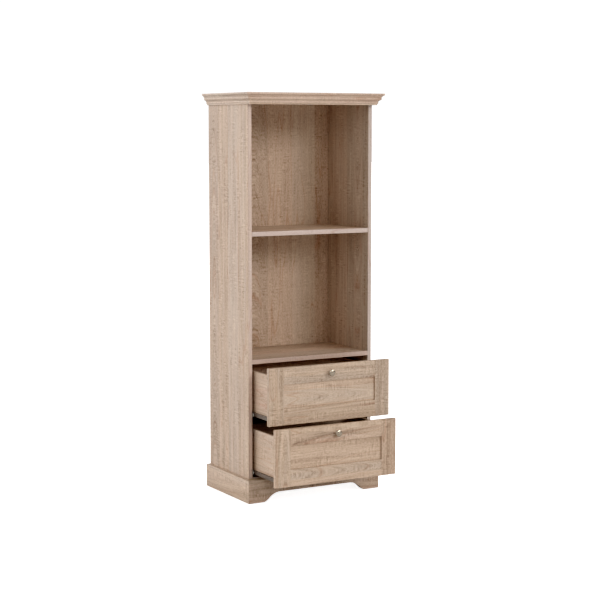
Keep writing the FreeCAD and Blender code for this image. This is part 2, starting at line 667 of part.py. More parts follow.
def cabinet_member(side, front_low):
    """Channel on the side panel; its upper flange starts behind the roller and carries the stop."""
    start = FRONT_Y + MEMBER_SETBACK
    end = BACK_Y - CABINET_MEMBER_END_GAP
    low = front_low + CHANNEL_LOW
    top = front_low + CHANNEL_TOP
    flange_x = (off_side(side, 0), off_side(side, CHANNEL_TIP))
    flange_start = FRONT_ROLLER_Y + ROLLER_R + ROLLER_GAP
    web = box((off_side(side, 0), off_side(side, RUNNER_T)), (start, end), (low, top))
    lower = box(flange_x, (start, end), (low, low + RUNNER_T))
    upper = box(flange_x, (flange_start, end), (top - RUNNER_T, top))
    tab_low = top - RUNNER_T - STOP_DROP
    above_axle = tab_low - (front_low + REAR_ROLLER_Z)
    half_chord = math.sqrt(ROLLER_R ** 2 - above_axle ** 2)
    limit_y = FRONT_Y - CLOSED_GAP + REAR_ROLLER_BACK - FULL_OPENING
    tab_y = limit_y - half_chord - ROLLER_GAP
    tab = box((off_side(side, ROLLER_NEAR), off_side(side, CHANNEL_TIP)),
              (tab_y - RUNNER_T, tab_y), (tab_low, top))
    return web.fuse([lower, upper, tab]).removeSplitter()


def drawer_member(side, front_low, face_y):
    """Angle under the drawer side with a flange turned out over the front roller."""
    start = face_y + MEMBER_SETBACK
    end = face_y + BOX_L
    low = front_low + RUNNER_RISE
    top = front_low + MEMBER_TOP
    wall = box((off_side(side, MEMBER_WALL), off_side(side, RUNNER_SPACE)), (start, end), (low, top))
    leg = box((off_side(side, MEMBER_WALL), off_side(side, RUNNER_SPACE + MEMBER_LEG)),
              (start, end), (low, low + RUNNER_T))
    flange = box((off_side(side, DRAWER_FLANGE_TIP), off_side(side, RUNNER_SPACE)), (start, end),
                 (top - RUNNER_T, top))
    z = front_low + REAR_ROLLER_Z
    y = face_y + REAR_ROLLER_BACK
    axle_hole = rod(AXLE_R, (off_side(side, MEMBER_WALL), y, z), (off_side(side, RUNNER_SPACE), y, z))
    return wall.fuse([leg, flange]).removeSplitter().cut(axle_hole)


# ---------------------------------------------------------------- drawers
class Drawer:
    """One drawer: front frame, box, knob, runner members and rollers."""

    def __init__(self, name, front_low, open_by):
        self.name = name
        self.low = front_low
        self.face_y = FRONT_Y - open_by       # back face of the drawer front
        self.top = front_low + FRONT_H
        self.dowels = []
        self.screws = []
        self.holes = []
        self.place_fasteners()

    def keep(self, piece, solids):
        """Store solids under this drawer's name."""
        keep(self.name + "_drawer_" + piece, solids)

    def add_dowel(self, at, axis, in_face):
        peg, hole = dowel(BOX_DOWEL_R, BOX_DOWEL_L, at, axis, in_face)
        self.dowels.append(peg)
        self.holes.append(hole)

    def place_fasteners(self):
        """Dowels from the sides into the front and the back, and screws up through the runners."""
        box_low = self.low + BOX_LOW
        back_y = self.face_y + BOX_L - BOX_T / 2
        for side in SIDES.values():
            middle_x = side * (BOX_HALF_W - BOX_T / 2)
            for share in (0.25, 0.5, 0.75):
                self.add_dowel((middle_x, self.face_y, box_low + BOX_H * share), (0, -1, 0),
                               DOWEL_IN_FACE)
            for share in (0.3, 0.7):
                self.add_dowel((side * BOX_INNER_X, back_y, box_low + BOX_H * share), (side, 0, 0),
                               BOX_DOWEL_IN_FACE)
            for y in runner_screw_ys(self.face_y + MEMBER_SETBACK, self.face_y + BOX_L):
                fastener, hole = screw((middle_x, y, self.low + RUNNER_RISE), (0, 0, 1), BOX_SCREW_L)
                self.screws.append(fastener)
                self.holes.append(hole)

    def bottom_block(self, side_reach, front_reach, rear_reach, play):
        """Plan and thickness of the box bottom, or of the groove round it."""
        low = self.low + BOX_GROOVE_LOW
        reach = BOX_INNER_X + side_reach
        rear = self.face_y + BOX_L - BOX_T + rear_reach
        return box((-reach, reach), (self.face_y - front_reach, rear),
                   (low - play, low + BOX_BOTTOM_T + play))

    def bottom_groove(self):
        """Cutter for the grooves that hold the box bottom."""
        return self.bottom_block(BOX_GROOVE_DEPTH, FRONT_GROOVE_DEPTH, BOX_GROOVE_DEPTH, GROOVE_PLAY)

    def panel_y(self, play):
        """Front and rear planes of the front panel, widened by a play."""
        front = self.face_y - FRONT_T + FRONT_PANEL_RECESS
        return (front - play, front + FRONT_PANEL_T + play)

    def outer_edges(self, axis_plane):
        """Test for the edges on the outer face of the front that axis_plane picks."""
        outer_y = self.face_y - FRONT_T
        return lambda a, b: near(a.y, outer_y) and near(b.y, outer_y) and axis_plane(a, b)

    def stile(self, side):
        """Upright of the front frame, grooved for the rails and the panel."""
        board = box((side * FRAME_INNER_X, side * FRONT_HALF_W),
                    (self.face_y - FRONT_T, self.face_y), (self.low, self.top))
        groove = box((side * FRAME_INNER_X, side * (FRAME_INNER_X + FRAME_GROOVE_DEPTH)),
                     self.panel_y(FRAME_GROOVE_PLAY), (self.low, self.top))

        def on_rim(a, b):
            return any(near(a[axis], plane) and near(b[axis], plane)
                       for axis, plane in ((0, side * FRONT_HALF_W), (2, self.low), (2, self.top)))

        board = rounded(board, FRONT_EDGE_R, self.outer_edges(on_rim))
        return cut_by(board, self.holes + [groove, self.bottom_groove()])

    def rail(self, low, outer_z, knob_hole):
        """Cross-piece of the front frame, with a tongue at each end."""
        y = (self.face_y - FRONT_T, self.face_y)
        board = box((-FRAME_INNER_X, FRAME_INNER_X), y, (low, low + FRAME_W))
        board = rounded(board, FRONT_EDGE_R,
                        self.outer_edges(lambda a, b: near(a.z, outer_z) and near(b.z, outer_z)))
        reach = FRAME_INNER_X + FRAME_GROOVE_DEPTH - TONGUE_END_GAP
        tongue = box((-reach, reach), self.panel_y(0), (low, low + FRAME_W))
        inner_z = low + FRAME_W if near(low, outer_z) else low
        inward = 1 if near(low, outer_z) else -1
        groove = box((-reach, reach), self.panel_y(FRAME_GROOVE_PLAY),
                     (inner_z, inner_z - inward * FRAME_GROOVE_DEPTH))
        return cut_by(board.fuse(tongue), [groove, self.bottom_groove()] + knob_hole)

    def front_panel(self):
        """Recessed panel of the front."""
        lap = FRAME_GROOVE_DEPTH - TONGUE_END_GAP
        reach = FRAME_INNER_X + lap
        return box((-reach, reach), self.panel_y(0),
                   (self.low + FRAME_W - lap, self.top - FRAME_W + lap))

    def build_front(self):
        knob_z = self.top - FRAME_W / 2
        hole = rod(KNOB_SCREW_R + FIT_PLAY, (0, self.face_y, knob_z),
                   (0, self.face_y - FRONT_T, knob_z))
        for name, side in SIDES.items():
            self.keep("stile_" + name, [self.stile(side)])
        self.keep("rail_top", [self.rail(self.top - FRAME_W, self.top, [hole])])
        self.keep("rail_bottom", [self.rail(self.low, self.low, [])])
        self.keep("front_panel", [self.front_panel()])
        self.keep("knob", [self.knob(knob_z)])
        screw_l = FRONT_T + KNOB_SCREW_GRIP
        outline = [(-KNOB_SCREW_HEAD_T, 0), (-KNOB_SCREW_HEAD_T, KNOB_SCREW_HEAD_R),
                   (0, KNOB_SCREW_HEAD_R), (0, KNOB_SCREW_R), (screw_l, KNOB_SCREW_R), (screw_l, 0)]
        self.keep("knob_screw", [turned(outline, (0, self.face_y, knob_z), (0, -1, 0))])

    def knob(self, z):
        """Turned knob: small base, waisted neck, drum head with a chamfered rim."""
        outer_y = self.face_y - FRONT_T
        head = KNOB_OUT - KNOB_CHAMFER - KNOB_RIM
        waist = (KNOB_BASE_T + head) / 2
        crown = KNOB_OUT - KNOB_CHAMFER
        thread_end = KNOB_SCREW_GRIP + FIT_PLAY
        stretches = [((0, KNOB_BASE_R),), ((KNOB_BASE_T, KNOB_BASE_R),),
                     ((waist, KNOB_NECK_R), (head, KNOB_R)), ((crown, KNOB_R),),
                     ((KNOB_OUT, KNOB_R - KNOB_CHAMFER),), ((KNOB_OUT, 0),), ((thread_end, 0),),
                     ((thread_end, KNOB_SCREW_R),), ((0, KNOB_SCREW_R),)]
        face = flat_face((0, KNOB_SCREW_R), stretches, lambda out, r: V(r, outer_y - out, z))
        return face.revolve(V(0, outer_y, z), V(0, -1, 0), 360)

    def build_box(self):
        low = self.low + BOX_LOW
        rear = self.face_y + BOX_L
        cutters = self.holes + [self.bottom_groove()]
        for name, side in SIDES.items():
            board = box((side * BOX_INNER_X, side * BOX_HALF_W), (self.face_y, rear),
                        (low, low + BOX_H))
            self.keep("side_" + name, [cut_by(board, cutters)])
        back = box((-BOX_INNER_X, BOX_INNER_X), (rear - BOX_T, rear), (low, low + BOX_H))
        self.keep("back", [cut_by(back, cutters)])
        gap = BOX_GROOVE_END_GAP
        self.keep("bottom", [self.bottom_block(BOX_GROOVE_DEPTH - gap, FRONT_GROOVE_DEPTH - gap,
                                               BOX_GROOVE_DEPTH - gap, 0)])

    def build_runners(self):
        rear_z = self.low + REAR_ROLLER_Z
        rear_y = self.face_y + REAR_ROLLER_BACK
        front_z = self.low + FRONT_ROLLER_Z
        sides = SIDES.values()
        self.keep("runners", [cut_by(drawer_member(side, self.low, self.face_y), self.holes)
                              for side in sides])
        self.keep("roller_axles", [axle(side, rear_y, rear_z, -1) for side in sides])
        self.keep("rear_rollers", [roller(side, rear_y, rear_z) for side in sides])
        self.keep("front_rollers", [roller(side, FRONT_ROLLER_Y, front_z) for side in sides])

    def build(self):
        self.build_front()
        self.build_box()
        self.build_runners()
        self.keep("dowels", self.dowels)
        self.keep("screws", self.screws)


def main():
    """Build every node and write one STEP file for each."""
    build_carcass()
    for name, (front_low, open_by) in DRAWERS.items():
        Drawer(name, front_low, open_by).build()
    os.makedirs("parts", exist_ok=True)
    for name, shape in nodes.items():
        if not shape.isValid():
            print("invalid shape:", name)
        shape.exportStep("parts/" + name + ".step")
    print(len(nodes), "nodes,", sum(len(shape.Solids) for shape in nodes.values()), "solids")


if __name__ == "__main__":
    main()
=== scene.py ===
"""Looks of a bookcase with two bottom drawers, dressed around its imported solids."""
import json
import logging
import math
import random
from collections.abc import Callable, Iterable, Iterator, Sequence
from contextlib import contextmanager
from dataclasses import dataclass, field
from enum import Enum
from functools import partial

import bmesh
import bpy
from bmesh.types import BMEdge, BMFace, BMVert
from bpy.types import Material, Node, NodeSocket, NodeTree, Object
from mathutils import Matrix, Vector

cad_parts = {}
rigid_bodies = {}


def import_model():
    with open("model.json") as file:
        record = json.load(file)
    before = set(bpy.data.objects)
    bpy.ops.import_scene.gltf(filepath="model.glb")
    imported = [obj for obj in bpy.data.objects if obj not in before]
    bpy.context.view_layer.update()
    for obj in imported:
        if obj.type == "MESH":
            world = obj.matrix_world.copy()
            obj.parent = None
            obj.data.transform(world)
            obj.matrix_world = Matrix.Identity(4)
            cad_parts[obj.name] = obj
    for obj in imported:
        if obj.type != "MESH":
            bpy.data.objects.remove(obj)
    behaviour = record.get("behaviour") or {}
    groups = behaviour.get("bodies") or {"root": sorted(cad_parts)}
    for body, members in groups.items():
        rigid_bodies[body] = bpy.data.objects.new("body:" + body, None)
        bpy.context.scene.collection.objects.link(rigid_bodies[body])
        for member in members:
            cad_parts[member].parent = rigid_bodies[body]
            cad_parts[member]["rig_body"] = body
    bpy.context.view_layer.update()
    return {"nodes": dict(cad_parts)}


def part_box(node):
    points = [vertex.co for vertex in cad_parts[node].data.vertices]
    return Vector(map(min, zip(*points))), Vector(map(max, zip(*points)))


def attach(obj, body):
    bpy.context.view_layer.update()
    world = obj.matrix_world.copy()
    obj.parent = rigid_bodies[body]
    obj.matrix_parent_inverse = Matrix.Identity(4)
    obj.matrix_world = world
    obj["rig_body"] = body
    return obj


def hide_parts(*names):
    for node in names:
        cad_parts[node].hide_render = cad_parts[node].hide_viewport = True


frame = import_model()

MM = 0.001
# Corners nearer than this are one corner, in metres.
MERGE = 0.002 * MM
# A corner nearer to its axis than this lies on it, in metres.
ON_AXIS = 1e-7
# Turn between two faces that are still one flat face, in degrees.
FLAT = 0.5
NODES: dict[str, Object] = frame["nodes"]
WHITE = "#ffffff"
DECOR_MAP = "decor"
TURNED_MAP = "turned"
# Attributes of a board that shift the tone and the tint of its print; on the plinth front and the
# cornice front the shift of tone is painted shade and painted light.
SHADE = "shade"
CAST = "cast"
# Places of decor, core and edge band in a board's list of materials.
DECOR, CORE, BAND = range(3)
# Part of the endless sheet where a print may start, in metres.
SHEET = (2.0, 30.0)
# Letters that move the start of a piece's print to another part of the sheet.
STARTS: dict[str, str] = {
    "back_panel": "d", "middle_panel": "d", "shelf": "c", "plinth_front": "d",
    "plinth_side_left": "d", "cornice_front": "b", "upper_drawer_front_panel": "d",
    "upper_drawer_stile_left": "d", "upper_drawer_stile_right": "d",
    "lower_drawer_front_panel": "d", "lower_drawer_stile_right": "d",
    "lower_drawer_rail_top": "b", "lower_drawer_rail_bottom": "d"}
# Length and width of a streak in millimetres, and octaves of finer streaks on top.
Streak = tuple[float, float, float]
# The function add() with its tree given.
Adder = Callable[..., Node]
log = logging.getLogger("bookcase")


class Axis(Enum):
    """A direction of the shared frame: X right, Y back, Z up."""

    X = 0
    Y = 1
    Z = 2


class Parts(Enum):
    """What an edit selects, with the name of its list in the mesh."""

    VERT = "verts"
    EDGE = "edges"


class Slot(Enum):
    """The record's material slots."""

    SONOMA = "sonoma_laminate"
    BACK = "back_laminate"
    LINING = "drawer_lining"
    BASE = "drawer_base"
    RAW = "raw_rail"
    BEECH = "beech_dowel"
    CAM = "cam_zinc"
    ZINC = "zinc_steel"
    RUNNER = "runner_steel"
    NYLON = "roller_nylon"
    NICKEL = "knob_nickel"
    GLIDE = "glide_plastic"


# ---- node and colour helpers
def linear(colour: str) -> tuple[float, float, float, float]:
    """Turns an sRGB hex colour to the linear values that a shader takes.

    Args:
        colour: Six hex digits after a hash.

    Returns:
        Red, green, blue and an alpha of 1.
    """
    shares = [int(colour[i:i + 2], 16) / 255 for i in (1, 3, 5)]
    # The sRGB curve: straight near black, then a power.
    red, green, blue = (
        c / 12.92 if c <= 0.04045 else ((c + 0.055) / 1.055) ** 2.4 for c in shares)
    return red, green, blue, 1.0


def feed(node: Node, feeds: dict) -> None:
    """Sets or links a node's inputs.

    Args:
        node: The node.
        feeds: Input name or number to a value, a socket, or a node, whose first output in
            use is taken.
    """
    for key, value in feeds.items():
        socket = node.inputs[key] if isinstance(key, int) else next(
            s for s in node.inputs if s.name == key and s.enabled)
        if isinstance(value, Node):
            value = next(s for s in value.outputs if s.enabled)
        if isinstance(value, NodeSocket):
            node.id_data.links.new(value, socket)
        else:
            socket.default_value = value


def add(tree: NodeTree, kind: str, feeds: dict | None = None,
        stops: Iterable[tuple[float, str]] = (), **settings: object) -> Node:
    """Adds one node with its settings and what feeds its inputs.

    Args:
        tree: Tree that gets the node.
        kind: Node type without the ShaderNode in front.
        feeds: What feeds its inputs.
        stops: Places and hex colours of a colour ramp.
        **settings: Properties of the node.

    Returns:
        The new node.
    """
    node = tree.nodes.new("ShaderNode" + kind)
    for name, value in settings.items():
        setattr(node, name, value)
    feed(node, feeds or {})
    for i, (place, colour) in enumerate(stops):
        # A new ramp comes with two points.
        points = node.color_ramp.elements
        point = points[i] if i < 2 else points.new(place)
        point.position = place
        point.color = linear(colour)
    return node


@dataclass(frozen=True)
class Finish:
    """Base of every finish: one Principled surface.

    In the finishes, sizes are in millimetres, tones and span are values of a pattern between
    which the look changes, and swing is how far the roughness leaves its mean.
    """

    name: str
    roughness: float
    ior: float = 1.5
    metallic: float = 0.0

    def start(self) -> tuple[Material, Adder, Node]:
        """Makes the material with its shader, whose plain values are set on the sockets.

        Returns:
            The material, what adds nodes to it, and its Principled node.
        """
        material = bpy.data.materials.new(self.name)
        material.use_nodes = True
        shader = material.node_tree.nodes["Principled BSDF"]
        feed(shader, {"Roughness": self.roughness, "Metallic": self.metallic})
        if not self.metallic:
            feed(shader, {"IOR": self.ior})
        return material, partial(add, material.node_tree), shader

    def vary(self, shader: Node, pattern: Node, low: float, high: float,
             span: tuple[float, float] = (0.0, 1.0)) -> None:
        """Lets the roughness follow a pattern.

        Args:
            shader: The Principled node.
            pattern: Node that the roughness follows.
            low: Change of the roughness at the low end of the pattern's span.
            high: Change of the roughness at its high end.
            span: Values of the pattern between which the roughness changes.
        """
        feed(shader, {"Roughness": add(shader.id_data, "MapRange", {
            0: pattern, 1: span[0], 2: span[1], 3: self.roughness + low,
            4: self.roughness + high})})

    @staticmethod
    def relief(shader: Node, height: Node | NodeSocket, depth: float) -> None:
        """Joins a height from 0 to 1 to the shader as bump of a depth in millimetres."""
        feed(shader, {"Normal": add(shader.id_data, "Bump", {
            "Height": height, "Distance": depth * MM, "Strength": 1.0})})


@dataclass(frozen=True)
class OakDecor(Finish):
    """Sonoma oak print: sawn planks side by side, straight and flame figure, rough-sawn marks."""

    dark: str = "#8a715b"
    middle: str = "#c2ab96"
    light: str = "#ddcab4"
    rosy: str = "#fdf6f7"
    straw: str = "#fdfaf8"
    grey: str = "#f8f8fc"
    ash: str = "#f0f4f9"
    vein: str = "#e0c0ae"
    plank: float = 84.0
    # How much the planks differ in width, from 0 to 1.
    plank_chance: float = 0.8
    # How far the grain wanders across, in millimetres, and over which streaks.
    wander_reach: float = 6.0
    wander: Streak = (380.0, 60.0, 3.0)
    # Streaks of each layer of the tone, and its share.
    layers: tuple[tuple[float, float, float, float], ...] = (
        (520.0, 9.0, 2.0, 0.50), (60.0, 2.4, 1.0, 0.40), (420.0, 30.0, 2.0, 0.52),
        (12.0, 3.6, 1.0, 0.50), (9.0, 0.9, 0.0, 0.12))
    # Saw marks, the patches they show in, what a patch has least, and their share of the tone.
    saw_marks: Streak = (6.5, 40.0, 1.0)
    saw_patches: Streak = (120.0, 42.0, 2.0)
    saw_span: tuple[float, float] = (0.46, 0.66)
    saw_least: float = 0.08
    saw_share: float = 0.80
    contrast: float = 1.0
    plank_contrast: float = 0.16
    # A plank whose chance passes this by a step has flame figure. Its arches have a bow in
    # metres, the power of its curve, a slope along the plank, a lean to one side and a wander.
    flame_from: float = 0.62
    flame_step: float = 0.02
    arch_bow: float = 0.16
    arch_power: float = 1.8
    arch_slope: float = 0.2
    arch_lean: float = 0.5
    arch_wander: float = 1.6
    # Share of the slow change of tint within a plank, and its streaks.
    hue_share: float = 0.45
    hues: Streak = (260.0, 30.0, 2.0)
    # Streaks whose middle level the reddish lines follow, their width and their strength.
    veins: Streak = (900.0, 75.0, 1.0)
    vein_width: float = 0.016
    vein_strength: float = 0.45
    # Roughness added in the pores and taken off the flat, and depth in millimetres.
    pore_matt: float = 0.10
    flat_gloss: float = 0.06
    depth: float = 0.10

    def make(self) -> Material:
        """Builds the print from the piece's own map, whose U runs with the grain, in metres.

        Returns:
            The material.
        """
        material, put, shader = self.start()
        lay = put("UVMap", uv_map=DECOR_MAP)
        place = put("SeparateXYZ", {0: lay})
        along, across = place.outputs[0], place.outputs[1]
        # The grain wanders a few millimetres across over half a metre.
        reach = self.wander_reach * MM
        wander = self.streaks(put, lay, *self.wander)
        drift = put("MapRange", {0: wander, 3: -reach, 4: reach})
        wavy = put("Math", {0: across, 1: drift}, operation="ADD")
        # Planks are the cells of a line across the sheet; each has its own tint and figure.
        plank = put("TexVoronoi", {"W": across, "Scale": 1 / (self.plank * MM),
                                   "Randomness": self.plank_chance}, voronoi_dimensions="1D")
        chance = put("SeparateColor", {0: plank.outputs["Color"]})
        # Flat-sawn planks: rings run as nested arches along the plank and lean to one side.
        lean = put("MapRange", {0: chance.outputs[1], 3: -self.arch_slope, 4: self.arch_slope})
        slope = put("Math", {0: along, 1: lean}, operation="MULTIPLY")
        slope = put("Math", {0: across, 1: self.arch_lean, 2: slope}, operation="MULTIPLY_ADD")
        bow = put("Math", {0: plank.outputs["Distance"], 1: self.arch_power}, operation="POWER")
        arch = put("Math", {0: bow, 1: self.arch_bow, 2: slope}, operation="MULTIPLY_ADD")
        ragged = put("Math", {0: drift, 1: self.arch_wander, 2: arch}, operation="MULTIPLY_ADD")
        flat = put("MapRange", {0: chance.outputs[0], 1: self.flame_from,
                                2: self.flame_from + self.flame_step})
        flow = put("Mix", {"Factor": flat, "A": wavy, "B": ragged})
        grain = put("CombineXYZ", {0: along, 1: flow})
        # Rough-sawn marks lie across the grain, in patches.
        marks = self.streaks(put, lay, *self.saw_marks)
        patch = self.streaks(put, lay, *self.saw_patches)
        strength = put("MapRange", {0: patch, 1: self.saw_span[0], 2: self.saw_span[1],
                                    3: self.saw_least, 4: 1.0})
        centred = put("Math", {0: marks, 1: -0.5}, operation="ADD")
        saw = put("Math", {0: centred, 1: strength, 2: 0.5}, operation="MULTIPLY_ADD")
        # The tone: rings, fibres, broad streaks, flecks, pores and saw marks, all about 0.5.
        shares = [(self.streaks(put, grain, length, width, detail), share)
                  for length, width, detail, share in self.layers] + [(saw, self.saw_share)]
        tone = 0.5 - sum(share for _, share in shares) / 2 * self.contrast
        tone -= self.plank_contrast / 2
        for pattern, share in (*shares, (chance.outputs[2], self.plank_contrast / self.contrast)):
            tone = put("Math", {0: pattern, 1: share * self.contrast, 2: tone},
                       operation="MULTIPLY_ADD")
        # The board's own shade shifts the tone; on the plinth front and the cornice front it is
        # painted shade and painted light.
        own = put("Attribute", attribute_name=SHADE)
        tone = put("Math", {0: tone, 1: own.outputs["Fac"]}, operation="ADD")
        wood = put("ValToRGB", {0: tone}, stops=(
            (0.0, self.dark), (1.0, self.light), (0.5, self.middle)))
        # Tint changes from plank to plank and slowly within one.
        hue = put("Mix", {"Factor": self.hue_share, "A": chance.outputs[1],
                          "B": self.streaks(put, lay, *self.hues)})
        cast = put("Attribute", attribute_name=CAST)
        hue = put("Math", {0: hue, 1: cast.outputs["Fac"]}, operation="ADD")
        tint = put("ValToRGB", {0: hue}, stops=(
            (0.25, self.rosy), (1.0, self.ash), (0.5, self.straw), (0.75, self.grey)))
        colour = put("Mix", {"Factor": 1.0, "A": wood, "B": tint}, data_type="RGBA",
                     blend_type="MULTIPLY")
        # Thin reddish lines follow the grain.
        contour = self.streaks(put, grain, *self.veins)
        offset = put("Math", {0: contour, 1: 0.5}, operation="SUBTRACT")
        near = put("Math", {0: offset}, operation="ABSOLUTE")
        line = put("MapRange", {0: near, 1: 0.0, 2: self.vein_width, 3: self.vein_strength,
                                4: 0.0})
        colour = put("Mix", {"Factor": line, "A": colour, "B": linear(self.vein)},
                     data_type="RGBA", blend_type="MULTIPLY")
        feed(shader, {"Base Color": colour})
        # The embossed pores and marks are a little rougher than the flat of the sheet.
        self.vary(shader, tone, self.pore_matt, -self.flat_gloss)
        self.relief(shader, tone, self.depth)
        return material

    @staticmethod
    def streaks(put: Adder, lay: Node, length: float, width: float, detail: float) -> Node:
        """Adds the streaks of wood: flat noise drawn out to a size.

        Args:
            put: What adds nodes to the material.
            lay: Node with the place along and across the grain, in metres.
            length: Size of a streak along the grain in millimetres.
            width: Size of a streak across the grain in millimetres.
            detail: Octaves of finer streaks on top.

        Returns:
            The node that gives them, from 0 to 1.
        """
        drawn = put("Mapping", {"Vector": lay, "Scale": (
            1 / (length * MM), 1 / (width * MM), 1)})
        return put("TexNoise", {"Vector": drawn, "Scale": 1.0, "Detail": detail,
                                "Roughness": 0.6}, noise_dimensions="2D")


@dataclass(frozen=True)
class Speckle(Finish):
    """Grainy stuff with cells of its own tone: chipboard, fibreboard, beech, cast zinc."""

    dark: str = "#8a6d4e"
    light: str = "#c9ab80"
    cell: float = 2.4
    mottle: float = 14.0
    mottle_share: float = 0.45
    tones: tuple[float, float] = (0.15, 0.85)
    swing: float = 0.08
    depth: float = 0.15

    def make(self) -> Material:
        """Builds cells of random tone under a wider mottle.

        Returns:
            The material.
        """
        material, put, shader = self.start()
        at = put("TexCoord").outputs["Object"]
        cells = put("TexVoronoi", {"Vector": at, "Scale": 1 / (self.cell * MM)})
        chance = put("SeparateColor", {0: cells.outputs["Color"]})
        mottle = put("TexNoise", {"Vector": at, "Scale": 1 / (self.mottle * MM), "Detail": 3.0})
        tone = put("Mix", {"Factor": self.mottle_share, "A": chance.outputs[0], "B": mottle})
        grain = put("ValToRGB", {0: tone}, stops=zip(self.tones, (self.dark, self.light)))
        feed(shader, {"Base Color": grain})
        self.vary(shader, tone, self.swing, -self.swing)
        self.relief(shader, cells.outputs["Distance"], self.depth)
        return material


@dataclass(frozen=True)
class Coat(Finish):
    """Skin with fine orange peel over a slow change of tone: powder coat, zinc, moulded nylon."""

    base: str = "#8f8a81"
    worn: str = "#a39d93"
    peel: float = 0.7
    cloud: float = 22.0
    tones: tuple[float, float] = (0.32, 0.68)
    span: tuple[float, float] = (0.3, 0.7)
    swing: float = 0.07
    depth: float = 0.02

    def make(self) -> Material:
        """Builds the coat on Object coordinates.

        Returns:
            The material.
        """
        material, put, shader = self.start()
        at = put("TexCoord").outputs["Object"]
        cloud = put("TexNoise", {"Vector": at, "Scale": 1 / (self.cloud * MM), "Detail": 4.0})
        tone = put("ValToRGB", {0: cloud}, stops=zip(self.tones, (self.base, self.worn)))
        feed(shader, {"Base Color": tone})
        self.vary(shader, cloud, -self.swing, self.swing, self.span)
        peel = put("TexNoise", {"Vector": at, "Scale": 1 / (self.peel * MM), "Detail": 1.0})
        self.relief(shader, peel, self.depth)
        return material


@dataclass(frozen=True)
class TurnedMetal(Finish):
    """Satin nickel over a turned body: fine rings from the tool, brushed round the axis."""

    base: str = "#9d8e7d"
    bright: str = "#c6b9a8"
    # Distance of the rings: real ones are finer, and are drawn coarser so that they show.
    mark: float = 0.35
    # Streaks that one turn holds.
    arcs: float = 5.0
    span: tuple[float, float] = (0.3, 0.7)
    swing: float = 0.06
    depth: float = 0.006

    def make(self) -> Material:
        """Builds rings on the piece's own map: U is the turn, V the way out and up in metres.

        Returns:
            The material.
        """
        material, put, shader = self.start()
        lay = put("UVMap", uv_map=TURNED_MAP)
        drawn = put("Mapping", {"Vector": lay, "Scale": (self.arcs, 1 / (self.mark * MM), 1)})
        rings = put("TexNoise", {"Vector": drawn, "Scale": 1.0, "Detail": 2.0},
                    noise_dimensions="2D")
        tone = put("ValToRGB", {0: rings}, stops=zip(self.span, (self.base, self.bright)))
        feed(shader, {"Base Color": tone})
        self.vary(shader, rings, -self.swing, self.swing, self.span)
        self.relief(shader, rings, self.depth)
        return material


def made(finish: OakDecor | Speckle | Coat | TurnedMetal) -> Material:
    """Field whose material is made along with its class."""
    return field(default_factory=finish.make)


@dataclass
class Finishes:
    """Every material of the bookcase, made once."""

    # Melamine-faced chipboard: satin print that shows its planks and saw marks.
    board: Material = made(OakDecor("sonoma_oak_melamine", 0.52))
    # Edge band of hard plastic: the same print, paler and a little glossier, all straight grain.
    edging: Material = made(OakDecor(
        "sonoma_oak_edge_band", 0.36, dark="#a18b7b", middle="#c9b3a4", light="#e0cfc1",
        contrast=0.7, flame_from=1.1))
    # Foil wrapped round fibreboard: the same print, smoother.
    foil: Material = made(OakDecor("sonoma_oak_foil", 0.42, plank=78.0))
    # Foil of the drawer fronts: the same print, yellower and livelier.
    front: Material = made(OakDecor(
        "sonoma_oak_front_foil", 0.42, rosy="#faf4f1", straw="#fcf7f2", grey="#f6f6f7",
        plank=78.0, contrast=1.1, flame_from=0.45))
    # Thin printed board of the back: the print with more contrast from plank to plank.
    back: Material = made(OakDecor(
        "sonoma_oak_printed_hardboard", 0.62, ior=1.42, rosy="#fff8f5", straw="#fff9f6",
        grey="#fcf9f8", ash="#fcf9f8", contrast=0.9, plank_contrast=0.34, plank=130.0,
        flame_from=0.75, layers=(
            (500.0, 9.0, 2.0, 0.34), (36.0, 2.4, 1.0, 0.66), (300.0, 26.0, 2.0, 0.44),
            (10.0, 3.2, 1.0, 0.80), (9.0, 0.9, 0.0, 0.12))))
    # Paper foil of the drawer sides and base, in the same print.
    lining: Material = made(OakDecor(
        "sonoma_oak_paper_foil", 0.5, contrast=0.85, plank=66.0))
    # Particle board where no edge band hides it: coarse chips.
    chipboard: Material = made(Speckle(
        "raw_particle_board", 0.8, dark="#a48a6a", light="#cfb896", cell=2.2))
    # Fibreboard: an even brown felt.
    fibreboard: Material = made(Speckle(
        "raw_fibreboard", 0.8, dark="#957a5c", light="#b0977b", cell=0.6, mottle=6.0,
        depth=0.04))
    # Rear of the hardboard: dark brown, smooth, with a fine fleck.
    hardboard: Material = made(Speckle(
        "raw_hardboard", 0.62, dark="#7c634d", light="#987f67", cell=1.1, mottle=30.0,
        depth=0.03))
    # Beech: pale pinkish brown with short rays.
    beech: Material = made(Speckle(
        "turned_beech", 0.55, dark="#b8956f", light="#d6ba96", cell=1.2, mottle=9.0,
        depth=0.03))
    # Epoxy powder coat on the runners: grey-brown, half matt, with orange peel.
    runner: Material = made(Coat(
        "epoxy_coated_steel", 0.42, base="#665b52", worn="#72675e"))
    # Moulded nylon: milky, half matt.
    nylon: Material = made(Coat(
        "moulded_nylon", 0.36, ior=1.53, base="#d6d3c8", worn="#e4e1d8", peel=0.5,
        depth=0.01))
    # Zinc-plated steel: bluish grey with faint spangle.
    zinc: Material = made(Coat(
        "zinc_plated_steel", 0.34, metallic=1.0, base="#a6a9a8", worn="#c4c5c0", peel=0.4,
        cloud=3.0, depth=0.01))
    # Die-cast zinc: dull, grainy grey.
    cast: Material = made(Speckle(
        "die_cast_zinc", 0.5, metallic=1.0, dark="#85868a", light="#a9a9ab", cell=0.5,
        mottle=5.0, depth=0.03))
    # Satin nickel: soft broad highlight with turning rings.
    nickel: Material = made(TurnedMetal("satin_nickel", 0.24, metallic=1.0))
    # Moulded polyethylene of the glides: dark brown, slightly waxy.
    glide: Material = made(Coat(
        "moulded_polyethylene", 0.45, ior=1.51, base="#3d2c20", worn="#4a382a", peel=0.8))


